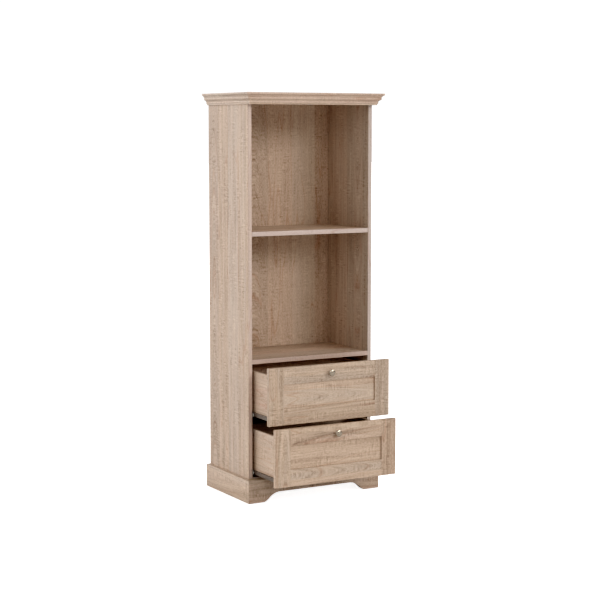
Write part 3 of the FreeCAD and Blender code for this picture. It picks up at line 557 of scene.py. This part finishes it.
# ---- bench work
def take(obj: Object) -> None:
    """Selects one object alone and makes it active.

    Args:
        obj: The object.
    """
    bpy.ops.object.select_all(action="DESELECT")
    obj.select_set(True)
    bpy.context.view_layer.objects.active = obj


@contextmanager
def editing(obj: Object) -> Iterator[None]:
    """Opens one object in edit mode and closes it again.

    Args:
        obj: The object.

    Yields:
        Nothing, while the object is open.
    """
    take(obj)
    bpy.ops.object.mode_set(mode="EDIT")
    yield
    bpy.ops.object.mode_set(mode="OBJECT")


def pick(obj: Object, parts: Parts, test: Callable[[object], bool]) -> int:
    """Selects in edit mode what passes a test, and nothing else.

    Args:
        obj: Object in edit mode.
        parts: Kind of part to select.
        test: Says whether one part is wanted.

    Returns:
        How many parts are selected.
    """
    bpy.ops.mesh.select_mode(type=parts.name)
    bpy.ops.mesh.select_all(action="DESELECT")
    mesh = bmesh.from_edit_mesh(obj.data)
    wanted = [part for part in getattr(mesh, parts.value) if test(part)]
    for part in wanted:
        part.select_set(True)
    bmesh.update_edit_mesh(obj.data)
    return len(wanted)


def sharp(shortest: float = 6.0, angle: float = 50.0) -> Callable[[BMEdge], bool]:
    """Makes a test for outward edges that stand sharp.

    Args:
        shortest: Length in millimetres that the edge has to pass.
        angle: Turn in degrees that it has to pass.

    Returns:
        The test.
    """
    def test(edge: BMEdge) -> bool:
        """True for a sharp outward edge."""
        return (edge.is_manifold and edge.calc_length() > shortest * MM
                and edge.calc_face_angle_signed() > math.radians(angle))
    return test


def soften(obj: Object, width: float, test: Callable[[object], bool],
           segments: int = 2, clamp: bool = False) -> None:
    """Rounds edges by a bevel.

    Args:
        obj: Object to round.
        width: Bevel width in millimetres.
        test: Picks the edges.
        segments: Facets of the rounding.
        clamp: Whether the width gives way where faces are too small for it.
    """
    with editing(obj):
        if pick(obj, Parts.EDGE, test):
            bpy.ops.mesh.bevel(offset=width * MM, segments=segments, affect="EDGES",
                               clamp_overlap=clamp)


def copied(node: str, kind: str) -> Object:
    """Copies a CAD node's shape as a clean mesh with whole faces.

    Args:
        node: The CAD node.
        kind: Word that follows the node's name in the copy's name.

    Returns:
        The copy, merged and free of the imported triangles.
    """
    mesh = NODES[node].data.copy()
    mesh.materials.clear()
    obj = bpy.data.objects.new(f"{node}_{kind}", mesh)
    bpy.context.scene.collection.objects.link(obj)
    with editing(obj):
        bpy.ops.mesh.select_all(action="SELECT")
        bpy.ops.mesh.customdata_custom_splitnormals_clear()
        bpy.ops.mesh.remove_doubles(threshold=MERGE)
        bpy.ops.mesh.dissolve_limited(angle_limit=math.radians(FLAT))
    return obj


def towards(axis: Vector) -> Matrix:
    """Matrix that turns the Z axis to another axis."""
    return axis.to_track_quat("Z", "Y").to_matrix().to_4x4()


def spun(name: str, outline: Sequence[tuple[float, float]], origin: Vector, axis: Vector,
         steps: int, round_off: float = 0.0) -> Object:
    """Turns an outline into a solid.

    Args:
        name: The piece's name.
        outline: Radius and place along the axis of each corner, in millimetres, from the axis
            to the axis or round a bore.
        origin: Where the outline's zero lies.
        axis: Direction of the axis.
        steps: Facets round the axis.
        round_off: Width of the rounding of every corner off the axis, in millimetres.

    Returns:
        The turned solid with its place in its mesh.
    """
    bpy.ops.object.select_all(action="DESELECT")
    bpy.ops.mesh.primitive_circle_add(vertices=len(outline), radius=MM)
    obj = bpy.context.object
    obj.name = name
    for vertex, (radius, height) in zip(obj.data.vertices, outline):
        vertex.co = (radius * MM, 0, height * MM)

    def on_axis(vertex: BMVert) -> bool:
        """True for a corner on the axis."""
        return vertex.co.x < ON_AXIS

    with editing(obj):
        if pick(obj, Parts.EDGE, lambda e: all(on_axis(v) for v in e.verts)):
            bpy.ops.mesh.delete(type="EDGE")
        if round_off and pick(obj, Parts.VERT, lambda v: not on_axis(v)):
            bpy.ops.mesh.bevel(offset=round_off * MM, segments=3, affect="VERTICES")
        bpy.ops.mesh.select_mode(type="EDGE")
        bpy.ops.mesh.select_all(action="SELECT")
        bpy.ops.mesh.spin(steps=steps, angle=math.tau, center=(0, 0, 0), axis=(0, 0, 1),
                          use_auto_merge=False)
        bpy.ops.mesh.select_all(action="SELECT")
        bpy.ops.mesh.remove_doubles(threshold=MERGE)
        bpy.ops.mesh.normals_make_consistent(inside=False)
    lay_turned(obj)
    obj.data.transform(Matrix.Translation(origin) @ towards(axis))
    return obj


def lay_turned(obj: Object) -> None:
    """Gives a turned piece its map: U is the turn from 0 to 1, V the way out and up in metres.

    Args:
        obj: The piece, with its axis on Z.
    """
    mesh = obj.data
    layer = mesh.uv_layers.new(name=TURNED_MAP)
    for face in mesh.polygons:
        middle = math.atan2(face.center.y, face.center.x)
        for corner in face.loop_indices:
            at = mesh.vertices[mesh.loops[corner].vertex_index].co
            turn = math.atan2(at.y, at.x)
            turn = middle + math.remainder(turn - middle, math.tau)
            layer.data[corner].uv = (turn / math.tau, math.hypot(at.x, at.y) - at.z)


def joined(name: str, pieces: Sequence[Object]) -> Object:
    """Joins pieces of one kind into one object.

    Args:
        name: Name of the whole.
        pieces: What is joined.

    Returns:
        The whole.
    """
    take(pieces[0])
    for piece in pieces:
        piece.select_set(True)
    bpy.ops.object.join()
    pieces[0].name = name
    return pieces[0]


def smooth(obj: Object, angle: float) -> None:
    """Shades smooth over edges flatter than an angle in degrees."""
    take(obj)
    bpy.ops.object.shade_smooth_by_angle(angle=math.radians(angle))


@dataclass(frozen=True)
class Island:
    """One loose solid of a CAD node: the corners of its box and its points."""

    low: Vector
    high: Vector
    points: tuple[Vector, ...]
    # Depth of the slice that is measured at each end, in millimetres.
    slice_depth: float = 0.6

    @property
    def middle(self) -> Vector:
        """Middle of the box."""
        return (self.low + self.high) / 2

    def head(self, axis: Axis) -> int:
        """Finds the end where the solid is widest.

        Args:
            axis: The solid's own axis.

        Returns:
            1 for its high end and -1 for its low end.
        """
        i, middle = axis.value, self.middle

        def reach(side: float) -> float:
            """Largest distance from the axis near one end."""
            near = [p for p in self.points if abs(p[i] - side) < self.slice_depth * MM]
            return max(math.dist([p[j] for j in range(3) if j != i],
                                 [middle[j] for j in range(3) if j != i]) for p in near)

        return 1 if reach(self.high[i]) > reach(self.low[i]) else -1


def islands(node: str) -> list[Island]:
    """Finds the loose solids of a CAD node, in the order of their boxes.

    Args:
        node: The CAD node.

    Returns:
        One island for each solid.
    """
    mesh = bmesh.new()
    mesh.from_mesh(NODES[node].data)
    bmesh.ops.remove_doubles(mesh, verts=mesh.verts, dist=MERGE)
    left, found = set(mesh.verts), []
    while left:
        stack, seen = [next(iter(left))], set()
        while stack:
            vertex = stack.pop()
            if vertex in seen:
                continue
            seen.add(vertex)
            stack += [edge.other_vert(vertex) for edge in vertex.link_edges]
        left -= seen
        points = tuple(v.co.copy() for v in seen)
        low = Vector([min(p[i] for p in points) for i in range(3)])
        high = Vector([max(p[i] for p in points) for i in range(3)])
        found.append(Island(low, high, points))
    mesh.free()
    # Sorted to a hundredth of a millimetre.
    return sorted(found, key=lambda s: tuple(round(c, 5) for c in (*s.low, *s.high)))


# ---- boards
@dataclass
class Board:
    """One board with its decor laid on it.

    bare holds the sides, such as "+y", where the core shows, and edge is the band on the front
    edge; a carved board is a moulding whose decor follows its section. Decor covers what lies
    less than skin below the box. shade makes the whole board lighter or darker, and cast greyer
    or rosier; the plinth front's shade is painted shade and the cornice front's painted light.
    arris, the rounding of its edges, and skin are in millimetres, and crease, the turn that still
    shades smooth, is in degrees.
    """

    node: str
    grain: Axis
    face: Material
    core: Material
    slot: Slot
    bare: tuple[str, ...] = ()
    carved: bool = False
    arris: float = 0.5
    kind: str = "board"
    shade: float = 0.0
    cast: float = 0.0
    edge: Material | None = None
    skin: float = 1.2
    crease: float = 25.0

    def make(self) -> None:
        """Copies, softens and dresses the board, and lets it stand for its CAD node."""
        obj = copied(self.node, self.kind)
        if self.arris:
            soften(obj, self.arris, sharp())
        self.cover(obj)
        self.lay(obj)
        if self.carved:
            smooth(obj, self.crease)
        settle(obj, self.node)

    @staticmethod
    def side_of(normal: Vector) -> tuple[int, int]:
        """Axis number and sign of the side that a normal faces most."""
        axis = max(range(3), key=lambda i: abs(normal[i]))
        return axis, 1 if normal[axis] > 0 else -1

    def cover(self, obj: Object) -> None:
        """Gives decor to the outer faces and core to bare sides, grooves and bores.

        Args:
            obj: The board.
        """
        low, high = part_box(self.node)
        for material in (self.face, self.core, self.edge):
            if material:
                obj.data.materials.append(material)
        bare = {("xyz".index(side[1]), 1 if side[0] == "+" else -1) for side in self.bare}
        for face in obj.data.polygons:
            axis, sign = self.side_of(face.normal)
            plane = (high if sign > 0 else low)[axis]
            inner = not self.carved and abs(face.center[axis] - plane) > self.skin * MM
            front = self.edge is not None and (axis, sign) == (Axis.Y.value, -1)
            face.material_index = (CORE if (axis, sign) in bare or inner
                                   else BAND if front else DECOR)

    def lay(self, obj: Object) -> None:
        """Lays the print: U with the grain, V across, each side from its own part of the sheet.

        Args:
            obj: The board.
        """
        low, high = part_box(self.node)
        size = high - low
        mesh = obj.data
        layer = mesh.uv_layers.new(name=DECOR_MAP)
        for name, value in ((SHADE, self.shade), (CAST, self.cast)):
            own = mesh.attributes.new(name, "FLOAT", "POINT")
            own.data.foreach_set("value", [value] * len(mesh.vertices))
        across = [i for i in range(3) if i != self.grain.value]
        for face in mesh.polygons:
            axis, sign = self.side_of(face.normal)
            if self.carved:
                ways = (self.grain.value, across, "")
            elif axis == self.grain.value:
                longer = max(across, key=lambda i: size[i])
                ways = (longer, [i for i in across if i != longer], f"{axis}{sign}")
            else:
                ways = (self.grain.value, [i for i in across if i != axis], f"{axis}{sign}")
            along, others, name = ways
            start = random.Random(f"{self.node}{STARTS.get(self.node, '')}{name}")
            shift = (start.uniform(*SHEET), start.uniform(*SHEET))
            for corner in face.loop_indices:
                at = mesh.vertices[mesh.loops[corner].vertex_index].co
                # Out of a moulding counts like up and down, so the print runs over it whole.
                v = sum(at[i] if i == 2 or not self.carved else abs(at[i]) for i in others)
                layer.data[corner].uv = (at[along] + shift[0], v + shift[1])


def settle(obj: Object, node: str) -> None:
    """Lets a piece ride on the body of the node that it replaces, and hides that node.

    Args:
        obj: The finished piece.
        node: CAD node it stands for.
    """
    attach(obj, NODES[node]["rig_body"])
    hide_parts(node)


@dataclass
class Carcass:
    """Side panels, cross panels, shelf and back."""

    finishes: Finishes
    arris: float = 0.5
    back_shade: float = 0.03
    # Shade and cast of the panels that differ from the rest.
    shades_and_casts: dict[str, tuple[float, float]] = field(default_factory=lambda: {
        "side_panel_right": (0.0, 0.5), "middle_panel": (-0.02, 0.1), "shelf": (0.06, 0.1)})

    def build(self) -> None:
        """Makes every board of the carcass."""
        f = self.finishes
        for name in ("side_panel_left", "side_panel_right", "top_panel", "middle_panel",
                     "bottom_panel", "shelf"):
            grain, bare = (Axis.Z, ("+y", "-z")) if "side" in name else (
                Axis.X, ("+y", "+x", "-x"))
            shade, cast = self.shades_and_casts.get(name, (0.0, 0.0))
            Board(name, grain, f.board, f.chipboard, Slot.SONOMA, bare=bare, arris=self.arris,
                  shade=shade, cast=cast, edge=f.edging).make()
        Board("back_panel", Axis.Z, f.back, f.hardboard, Slot.BACK,
              bare=("+y", "+x", "-x", "+z", "-z"), arris=0.0, shade=self.back_shade).make()


@dataclass
class Trims:
    """Plinth and cornice with the rails and blocks behind them."""

    finishes: Finishes
    arris: float = 0.6
    raw_arris: float = 0.4
    # Shade and cast of the mouldings that differ from the rest: the plinth front is darkened as
    # painted shade from the drawers above it, and the cornice front is lightened as painted light
    # on a moulding that meets the light more than its section does.
    shades_and_casts: dict[str, tuple[float, float]] = field(default_factory=lambda: {
        "plinth_front": (-0.05, 0.0), "cornice_front": (0.12, 0.0),
        "plinth_side_left": (-0.03, 0.1), "cornice_side_left": (0.03, 0.3),
        "cornice_side_right": (0.03, 0.3)})

    def build(self) -> None:
        """Makes the mouldings and the raw pieces that carry them."""
        f = self.finishes
        for trim in ("plinth", "cornice"):
            for end, grain, rear in (("front", Axis.X, "+y"), ("side_left", Axis.Y, "+x"),
                                     ("side_right", Axis.Y, "-x")):
                bare = (rear, "-z") if trim == "plinth" else (rear,)
                if end != "front":
                    bare += ("+y",)
                name = f"{trim}_{end}"
                shade, cast = self.shades_and_casts.get(name, (0.0, 0.0))
                Board(name, grain, f.foil, f.fibreboard, Slot.SONOMA, bare=bare, carved=True,
                      arris=self.arris, kind="moulding", shade=shade, cast=cast).make()
        Board("cornice_rail", Axis.X, f.foil, f.chipboard, Slot.SONOMA,
              bare=("+x", "-x")).make()
        for name in ("plinth_rail", "plinth_blocks"):
            Board(name, Axis.X, f.chipboard, f.chipboard, Slot.RAW, arris=self.raw_arris,
                  carved=True, kind="block").make()


@dataclass
class Drawer:
    """Front frame, box and knob of one drawer."""

    name: str
    finishes: Finishes
    arris: float = 0.45
    # The stiles are a little darker than the rails, and the box's sides a little lighter.
    stile_shades: tuple[tuple[str, float], ...] = (("left", -0.02), ("right", -0.09))
    side_shade: float = 0.04
    # Radius and place along the axis of each corner of the knob, its rounding and facets.
    knob_profile: tuple[tuple[float, float], ...] = (
        (0.0, 0.0), (7.5, 0.0), (7.5, 1.5), (5.3, 2.6), (5.0, 6.0), (5.9, 10.0), (8.6, 13.6),
        (13.2, 16.2), (15.0, 17.6), (15.0, 20.6), (13.6, 22.0), (10.6, 23.1), (7.0, 23.7),
        (3.5, 23.95), (0.0, 24.0))
    knob_round: float = 0.35
    knob_facets: int = 64
    knob_crease: float = 40.0

    def build(self) -> None:
        """Makes the drawer's wooden pieces and its knob."""
        f, drawer = self.finishes, self.name
        for side, shade in self.stile_shades:
            Board(f"{drawer}_stile_{side}", Axis.Z, f.front, f.fibreboard, Slot.SONOMA,
                  arris=self.arris, kind="frame", shade=shade).make()
            Board(f"{drawer}_side_{side}", Axis.Y, f.lining, f.chipboard, Slot.LINING,
                  bare=("+y",), shade=self.side_shade).make()
        for rail in ("top", "bottom"):
            Board(f"{drawer}_rail_{rail}", Axis.X, f.front, f.fibreboard, Slot.SONOMA,
                  arris=self.arris, kind="frame").make()
        Board(f"{drawer}_front_panel", Axis.X, f.front, f.fibreboard, Slot.SONOMA,
              arris=0.0).make()
        Board(f"{drawer}_back", Axis.X, f.lining, f.chipboard, Slot.LINING).make()
        Board(f"{drawer}_bottom", Axis.X, f.lining, f.hardboard, Slot.BASE,
              bare=("-z", "+x", "-x", "+y", "-y"), arris=0.0).make()
        self.knob()

    def knob(self) -> None:
        """Spins the knob: foot, waisted neck, drum head with a rounded rim and a domed face."""
        node = f"{self.name}_knob"
        low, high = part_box(node)
        foot = Vector(((low.x + high.x) / 2, high.y, (low.z + high.z) / 2))
        obj = spun(f"{node}_turned", self.knob_profile, foot, Vector((0, -1, 0)),
                   self.knob_facets, self.knob_round)
        obj.data.materials.append(self.finishes.nickel)
        smooth(obj, self.knob_crease)
        settle(obj, node)


@dataclass
class Runners:
    """Roller runners: folded members and their rollers."""

    finishes: Finishes
    # Rounding of bends and rims in millimetres, and what counts as a bend: a long edge that
    # stands sharper than an angle, between faces wider than a rim.
    bend: float = 0.9
    burr: float = 0.2
    bend_length: float = 60.0
    bend_angle: float = 50.0
    rim: float = 3.0
    burr_length: float = 2.0
    burr_angle: float = 60.0
    crease: float = 34.0
    # Roller: radius of bore and hub, depth and slant of the dish, width of the shoulder beside
    # it, crown of the tread.
    bore: float = 2.55
    hub: float = 4.6
    dish: float = 0.5
    slant: float = 0.4
    shoulder: float = 1.8
    crown: float = 0.6
    facets: int = 48
    roller_crease: float = 40.0

    def build(self) -> None:
        """Makes the members and rollers of both drawers."""
        for node in ("cabinet_runners_left", "cabinet_runners_right", "upper_drawer_runners",
                     "lower_drawer_runners"):
            self.member(node)
        for drawer in ("upper", "lower"):
            for end in ("front", "rear"):
                self.rollers(f"{drawer}_drawer_{end}_rollers")

    def member(self, node: str) -> None:
        """Rounds a folded member: wide at its bends, fine at its rims.

        Args:
            node: The CAD node.
        """
        obj = copied(node, "folded")
        long_edge = sharp(self.bend_length, self.bend_angle)

        def bent(edge: BMEdge) -> bool:
            """True for the outer edge of a bend, between two broad faces."""
            return long_edge(edge) and all(
                self.breadth(face) > self.rim * MM for face in edge.link_faces)

        soften(obj, self.bend, bent, 3)
        soften(obj, self.burr, sharp(self.burr_length, self.burr_angle), 1)
        obj.data.materials.append(self.finishes.runner)
        smooth(obj, self.crease)
        settle(obj, node)

    @staticmethod
    def breadth(face: BMFace) -> float:
        """Larger size of a face across the runner, in metres."""
        return max(max(v.co[i] for v in face.verts) - min(v.co[i] for v in face.verts)
                   for i in (Axis.X.value, Axis.Z.value))

    def rollers(self, node: str) -> None:
        """Spins the pair of rollers: crowned tread, dished faces, hub round the bore.

        Args:
            node: The CAD node.
        """
        rollers = []
        for island in islands(node):
            width = (island.high.x - island.low.x) / MM
            radius = (island.high.z - island.low.z) / 2 / MM
            ring = radius - self.shoulder
            near = ((self.bore, 0), (self.hub, 0), (self.hub + self.slant, self.dish),
                    (ring - self.slant, self.dish), (ring, 0), (radius - self.crown, 0),
                    (radius, self.crown))
            far = tuple((out, width - along) for out, along in reversed(near))
            start = Vector((island.low.x, island.middle.y, island.middle.z))
            rollers.append(spun("roller", near + far, start, Vector((1, 0, 0)), self.facets))
        obj = joined(f"{node}_moulded", rollers)
        obj.data.materials.append(self.finishes.nylon)
        smooth(obj, self.roller_crease)
        settle(obj, node)


@dataclass(frozen=True)
class Drive:
    """Cross recess for a driver, in millimetres: tip to tip, width of an arm and depth."""

    reach: float
    width: float
    depth: float


@dataclass(frozen=True)
class Fitting:
    """How the small pieces of one kind are dressed, known by a word in their node's name.

    arris is the rounding of their edges in millimetres.
    """

    word: str
    slot: Slot
    material: Material
    arris: float = 0.3
    drive: Drive | None = None


@dataclass
class Fixings:
    """Screws, cam locks, bolts, pins, dowels, brackets, axles and glides."""

    finishes: Finishes
    screw_drive: Drive = Drive(4.4, 1.0, 1.7)
    cam_drive: Drive = Drive(9.0, 1.7, 3.0)
    # Turn from one cross to the next in degrees, so that neighbours stand differently.
    turn_step: int = 37
    # Only cam locks are wider than this both ways; they open down in a panel of this list
    # whose underside they touch, in millimetres.
    cam_width: float = 14.0
    touch: float = 0.05
    panels: tuple[str, ...] = ("top_panel", "middle_panel", "bottom_panel")
    # Shortest edge that is rounded, in millimetres.
    shortest: float = 0.05
    crease: float = 35.0

    def build(self) -> None:
        """Dresses every node that no other group has replaced."""
        f = self.finishes
        kinds = (
            Fitting("dowels", Slot.BEECH, f.beech, 0.5),
            Fitting("cam_locks", Slot.CAM, f.cast, 0.3, self.cam_drive),
            Fitting("cam_bolts", Slot.ZINC, f.zinc),
            Fitting("screw", Slot.ZINC, f.zinc, 0.0, self.screw_drive),
            Fitting("pins", Slot.ZINC, f.zinc, 0.5),
            Fitting("glides", Slot.GLIDE, f.glide, 0.8),
            Fitting("brackets", Slot.ZINC, f.zinc),
            Fitting("axles", Slot.ZINC, f.zinc),
        )
        for name, node in list(NODES.items()):
            if not node.hide_render:
                self.dress(name, next(kind for kind in kinds if kind.word in name))

    def dress(self, node: str, kind: Fitting) -> None:
        """Rounds a node's pieces, cuts their drives and gives them their finish.

        Args:
            node: The CAD node.
            kind: How its pieces are dressed.
        """
        obj = copied(node, "fitting")
        if kind.arris:
            soften(obj, kind.arris, sharp(self.shortest), clamp=True)
        if kind.drive:
            for turn in (0, 90):
                arms = [self.arm(island, kind.drive, turn + number * self.turn_step)
                        for number, island in enumerate(islands(node))]
                self.cut(obj, joined("arms", arms))
        obj.data.materials.append(kind.material)
        smooth(obj, self.crease)
        settle(obj, node)

    def arm(self, island: Island, drive: Drive, turn: float) -> Object:
        """Makes one arm of the cross that a head is cut with.

        Args:
            island: The screw or cam lock.
            drive: Size of its cross.
            turn: How far the arm is turned round the axis, in degrees.

        Returns:
            The cutter, centred on the head's face.
        """
        size = island.high - island.low
        if min(size.x, size.y) > self.cam_width * MM:
            axis = Axis.Z
            end = -1 if any(abs(island.low.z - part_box(p)[0].z) < self.touch * MM
                            for p in self.panels) else 1
        else:
            axis = max(Axis, key=lambda a: size[a.value])
            end = island.head(axis)
        face = island.middle.copy()
        face[axis.value] = (island.high if end > 0 else island.low)[axis.value]
        way = Vector([float(a is axis) for a in Axis])
        bpy.ops.object.select_all(action="DESELECT")
        bpy.ops.mesh.primitive_cube_add(size=1.0)
        arm = bpy.context.object
        scale = (drive.reach * MM, drive.width * MM, 2 * drive.depth * MM, 1.0)
        arm.data.transform(Matrix.Translation(face) @ towards(way)
                           @ Matrix.Rotation(math.radians(turn), 4, "Z") @ Matrix.Diagonal(scale))
        return arm

    @staticmethod
    def cut(obj: Object, tool: Object) -> None:
        """Takes the tool's shape out of an object and removes the tool.

        Args:
            obj: The object that is cut.
            tool: What it is cut with.
        """
        take(obj)
        bpy.ops.object.modifier_add(type="BOOLEAN")
        modifier = obj.modifiers[-1]
        modifier.operation, modifier.solver, modifier.object = "DIFFERENCE", "EXACT", tool
        bpy.ops.object.modifier_apply(modifier=modifier.name)
        mesh = tool.data
        bpy.data.objects.remove(tool)
        bpy.data.meshes.remove(mesh)


@dataclass(frozen=True)
class Lamp:
    """A distant soft light; azimuth 0 is in front of the bookcase and 90 at its right.

    Angles are in degrees, and spread is how wide the light looks from the bookcase.
    """

    name: str
    azimuth: float
    elevation: float
    spread: float
    strength: float
    distance: float = 4.0

    def hang(self) -> None:
        """Adds the lamp."""
        data = bpy.data.lights.new(self.name, "SUN")
        data.energy, data.angle = self.strength, math.radians(self.spread)
        obj = bpy.data.objects.new(self.name, data)
        a, e = math.radians(self.azimuth), math.radians(self.elevation)
        back = Vector((math.sin(a) * math.cos(e), -math.cos(a) * math.cos(e), math.sin(e)))
        obj.rotation_euler = back.to_track_quat("Z", "Y").to_euler()
        obj.location = back * self.distance
        bpy.context.scene.collection.objects.link(obj)


@dataclass
class Studio:
    """Floor, soft lights and camera.

    The camera has its place in metres, its turn in degrees, its lens and sensor in millimetres
    and its shift. backdrop is how bright the surroundings look and dome how bright they shine;
    glow is what the floor adds to its own paint to look as white as they do.
    """

    eye: tuple[float, float, float] = (-3.4759, -6.2775, 1.6455)
    yaw: float = 29.332
    pitch: float = -5.557
    lens: float = 94.807
    sensor: float = 36.0
    shift: float = -0.03
    backdrop: float = 1.05
    dome: float = 0.17
    glow: float = 0.87
    floor_half: float = 60.0
    # Tone as the light gives it and as the render shows it, from 0 to 255.
    toe: tuple[tuple[int, int], ...] = (
        (31, 5), (43, 15), (54, 30), (67, 48), (81, 67), (100, 91), (114, 108), (131, 127),
        (152, 150), (176, 175), (200, 200))
    lamps: tuple[Lamp, ...] = (
        # A wide softbox in front, made of panels side by side and brightest at its right.
        Lamp("front_panel_1", -20, 18, 20, 0.17),
        Lamp("front_panel_2", 6, 18, 20, 0.22),
        Lamp("front_panel_3", 25, 20, 18, 0.72),
        Lamp("front_panel_4", 42, 18, 20, 0.18),
        Lamp("front_panel_5", 55, 30, 13, 0.206),
        Lamp("front_upper_panel_1", -20, 30, 13, 0.117),
        Lamp("front_upper_panel_2", 10, 45, 13, 0.078),
        Lamp("front_right_high_softbox", 40, 60, 20, 0.391),
        Lamp("front_left_softbox", -45, 40, 20, 0.196),
        Lamp("left_front_softbox", -70, 12, 26, 0.244),
        Lamp("left_softbox", -112, 12, 40, 1.08),
        Lamp("left_rear_softbox", -148, 12, 40, 1.01),
        Lamp("right_softbox", 100, 30, 26, 0.8),
        Lamp("rear_softbox", 180, 30, 40, 0.7),
    )

    def build(self) -> None:
        """Sets the stage round the finished bookcase."""
        self.floor()
        self.sky()
        for lamp in self.lamps:
            lamp.hang()
        self.camera()
        self.tone()

    def floor(self) -> None:
        """Pale matt floor that runs out of sight."""
        bpy.ops.object.select_all(action="DESELECT")
        bpy.ops.mesh.primitive_plane_add(size=2 * self.floor_half)
        floor = bpy.context.object
        floor.name = "floor"
        paint = Coat("pale_floor", 0.9, base="#e6e6e6", worn="#e9e9e9", peel=3.0,
                     cloud=900.0).make()
        # It glows for the camera alone, and lights nothing.
        tree = paint.node_tree
        path = add(tree, "LightPath")
        glow = add(tree, "Math", {0: path.outputs["Is Camera Ray"], 1: self.glow},
                   operation="MULTIPLY")
        feed(tree.nodes["Principled BSDF"], {"Emission Color": linear(WHITE),
                                             "Emission Strength": glow})
        floor.data.materials.append(paint)

    def sky(self) -> None:
        """White surroundings: full white behind the bookcase, softer as a light."""
        world = bpy.data.worlds.new("studio")
        bpy.context.scene.world = world
        world.use_nodes = True
        tree = world.node_tree
        tree.nodes.clear()
        seen, lit = (add(tree, "Background", {"Color": linear(WHITE), "Strength": strength})
                     for strength in (self.backdrop, self.dome))
        path = add(tree, "LightPath")
        both = add(tree, "MixShader", {0: path.outputs["Is Camera Ray"], 1: lit, 2: seen})
        add(tree, "OutputWorld", {"Surface": both})

    def camera(self) -> None:
        """Camera at the bookcase's front left, a little below its top."""
        data = bpy.data.cameras.new("camera")
        data.lens, data.sensor_width, data.shift_y = self.lens, self.sensor, self.shift
        obj = bpy.data.objects.new("camera", data)
        obj.location = self.eye
        obj.rotation_euler = (math.radians(90 + self.pitch), 0, math.radians(-self.yaw))
        bpy.context.scene.collection.objects.link(obj)
        bpy.context.scene.camera = obj

    def tone(self) -> None:
        """Print-like tone: white stays white and the dark end falls a little faster."""
        view = bpy.context.scene.view_settings
        view.view_transform = "Standard"
        view.use_curve_mapping = True
        # The last of the four curves acts on red, green and blue alike.
        curve = view.curve_mapping.curves[3]
        for point in self.toe:
            lit, shown = (linear(f"#{level:02x}0000")[0] for level in point)
            curve.points.new(lit, shown)
        view.curve_mapping.update()


def main() -> None:
    """Builds every group of pieces in order, then the studio."""
    logging.basicConfig(level=logging.INFO, format="%(name)s: %(message)s")
    finishes = Finishes()
    groups = (Carcass(finishes), Trims(finishes), Drawer("upper_drawer", finishes),
              Drawer("lower_drawer", finishes), Runners(finishes), Fixings(finishes), Studio())
    for group in groups:
        group.build()
        log.info("%s is done", type(group).__name__)


if __name__ == "__main__":
    main()
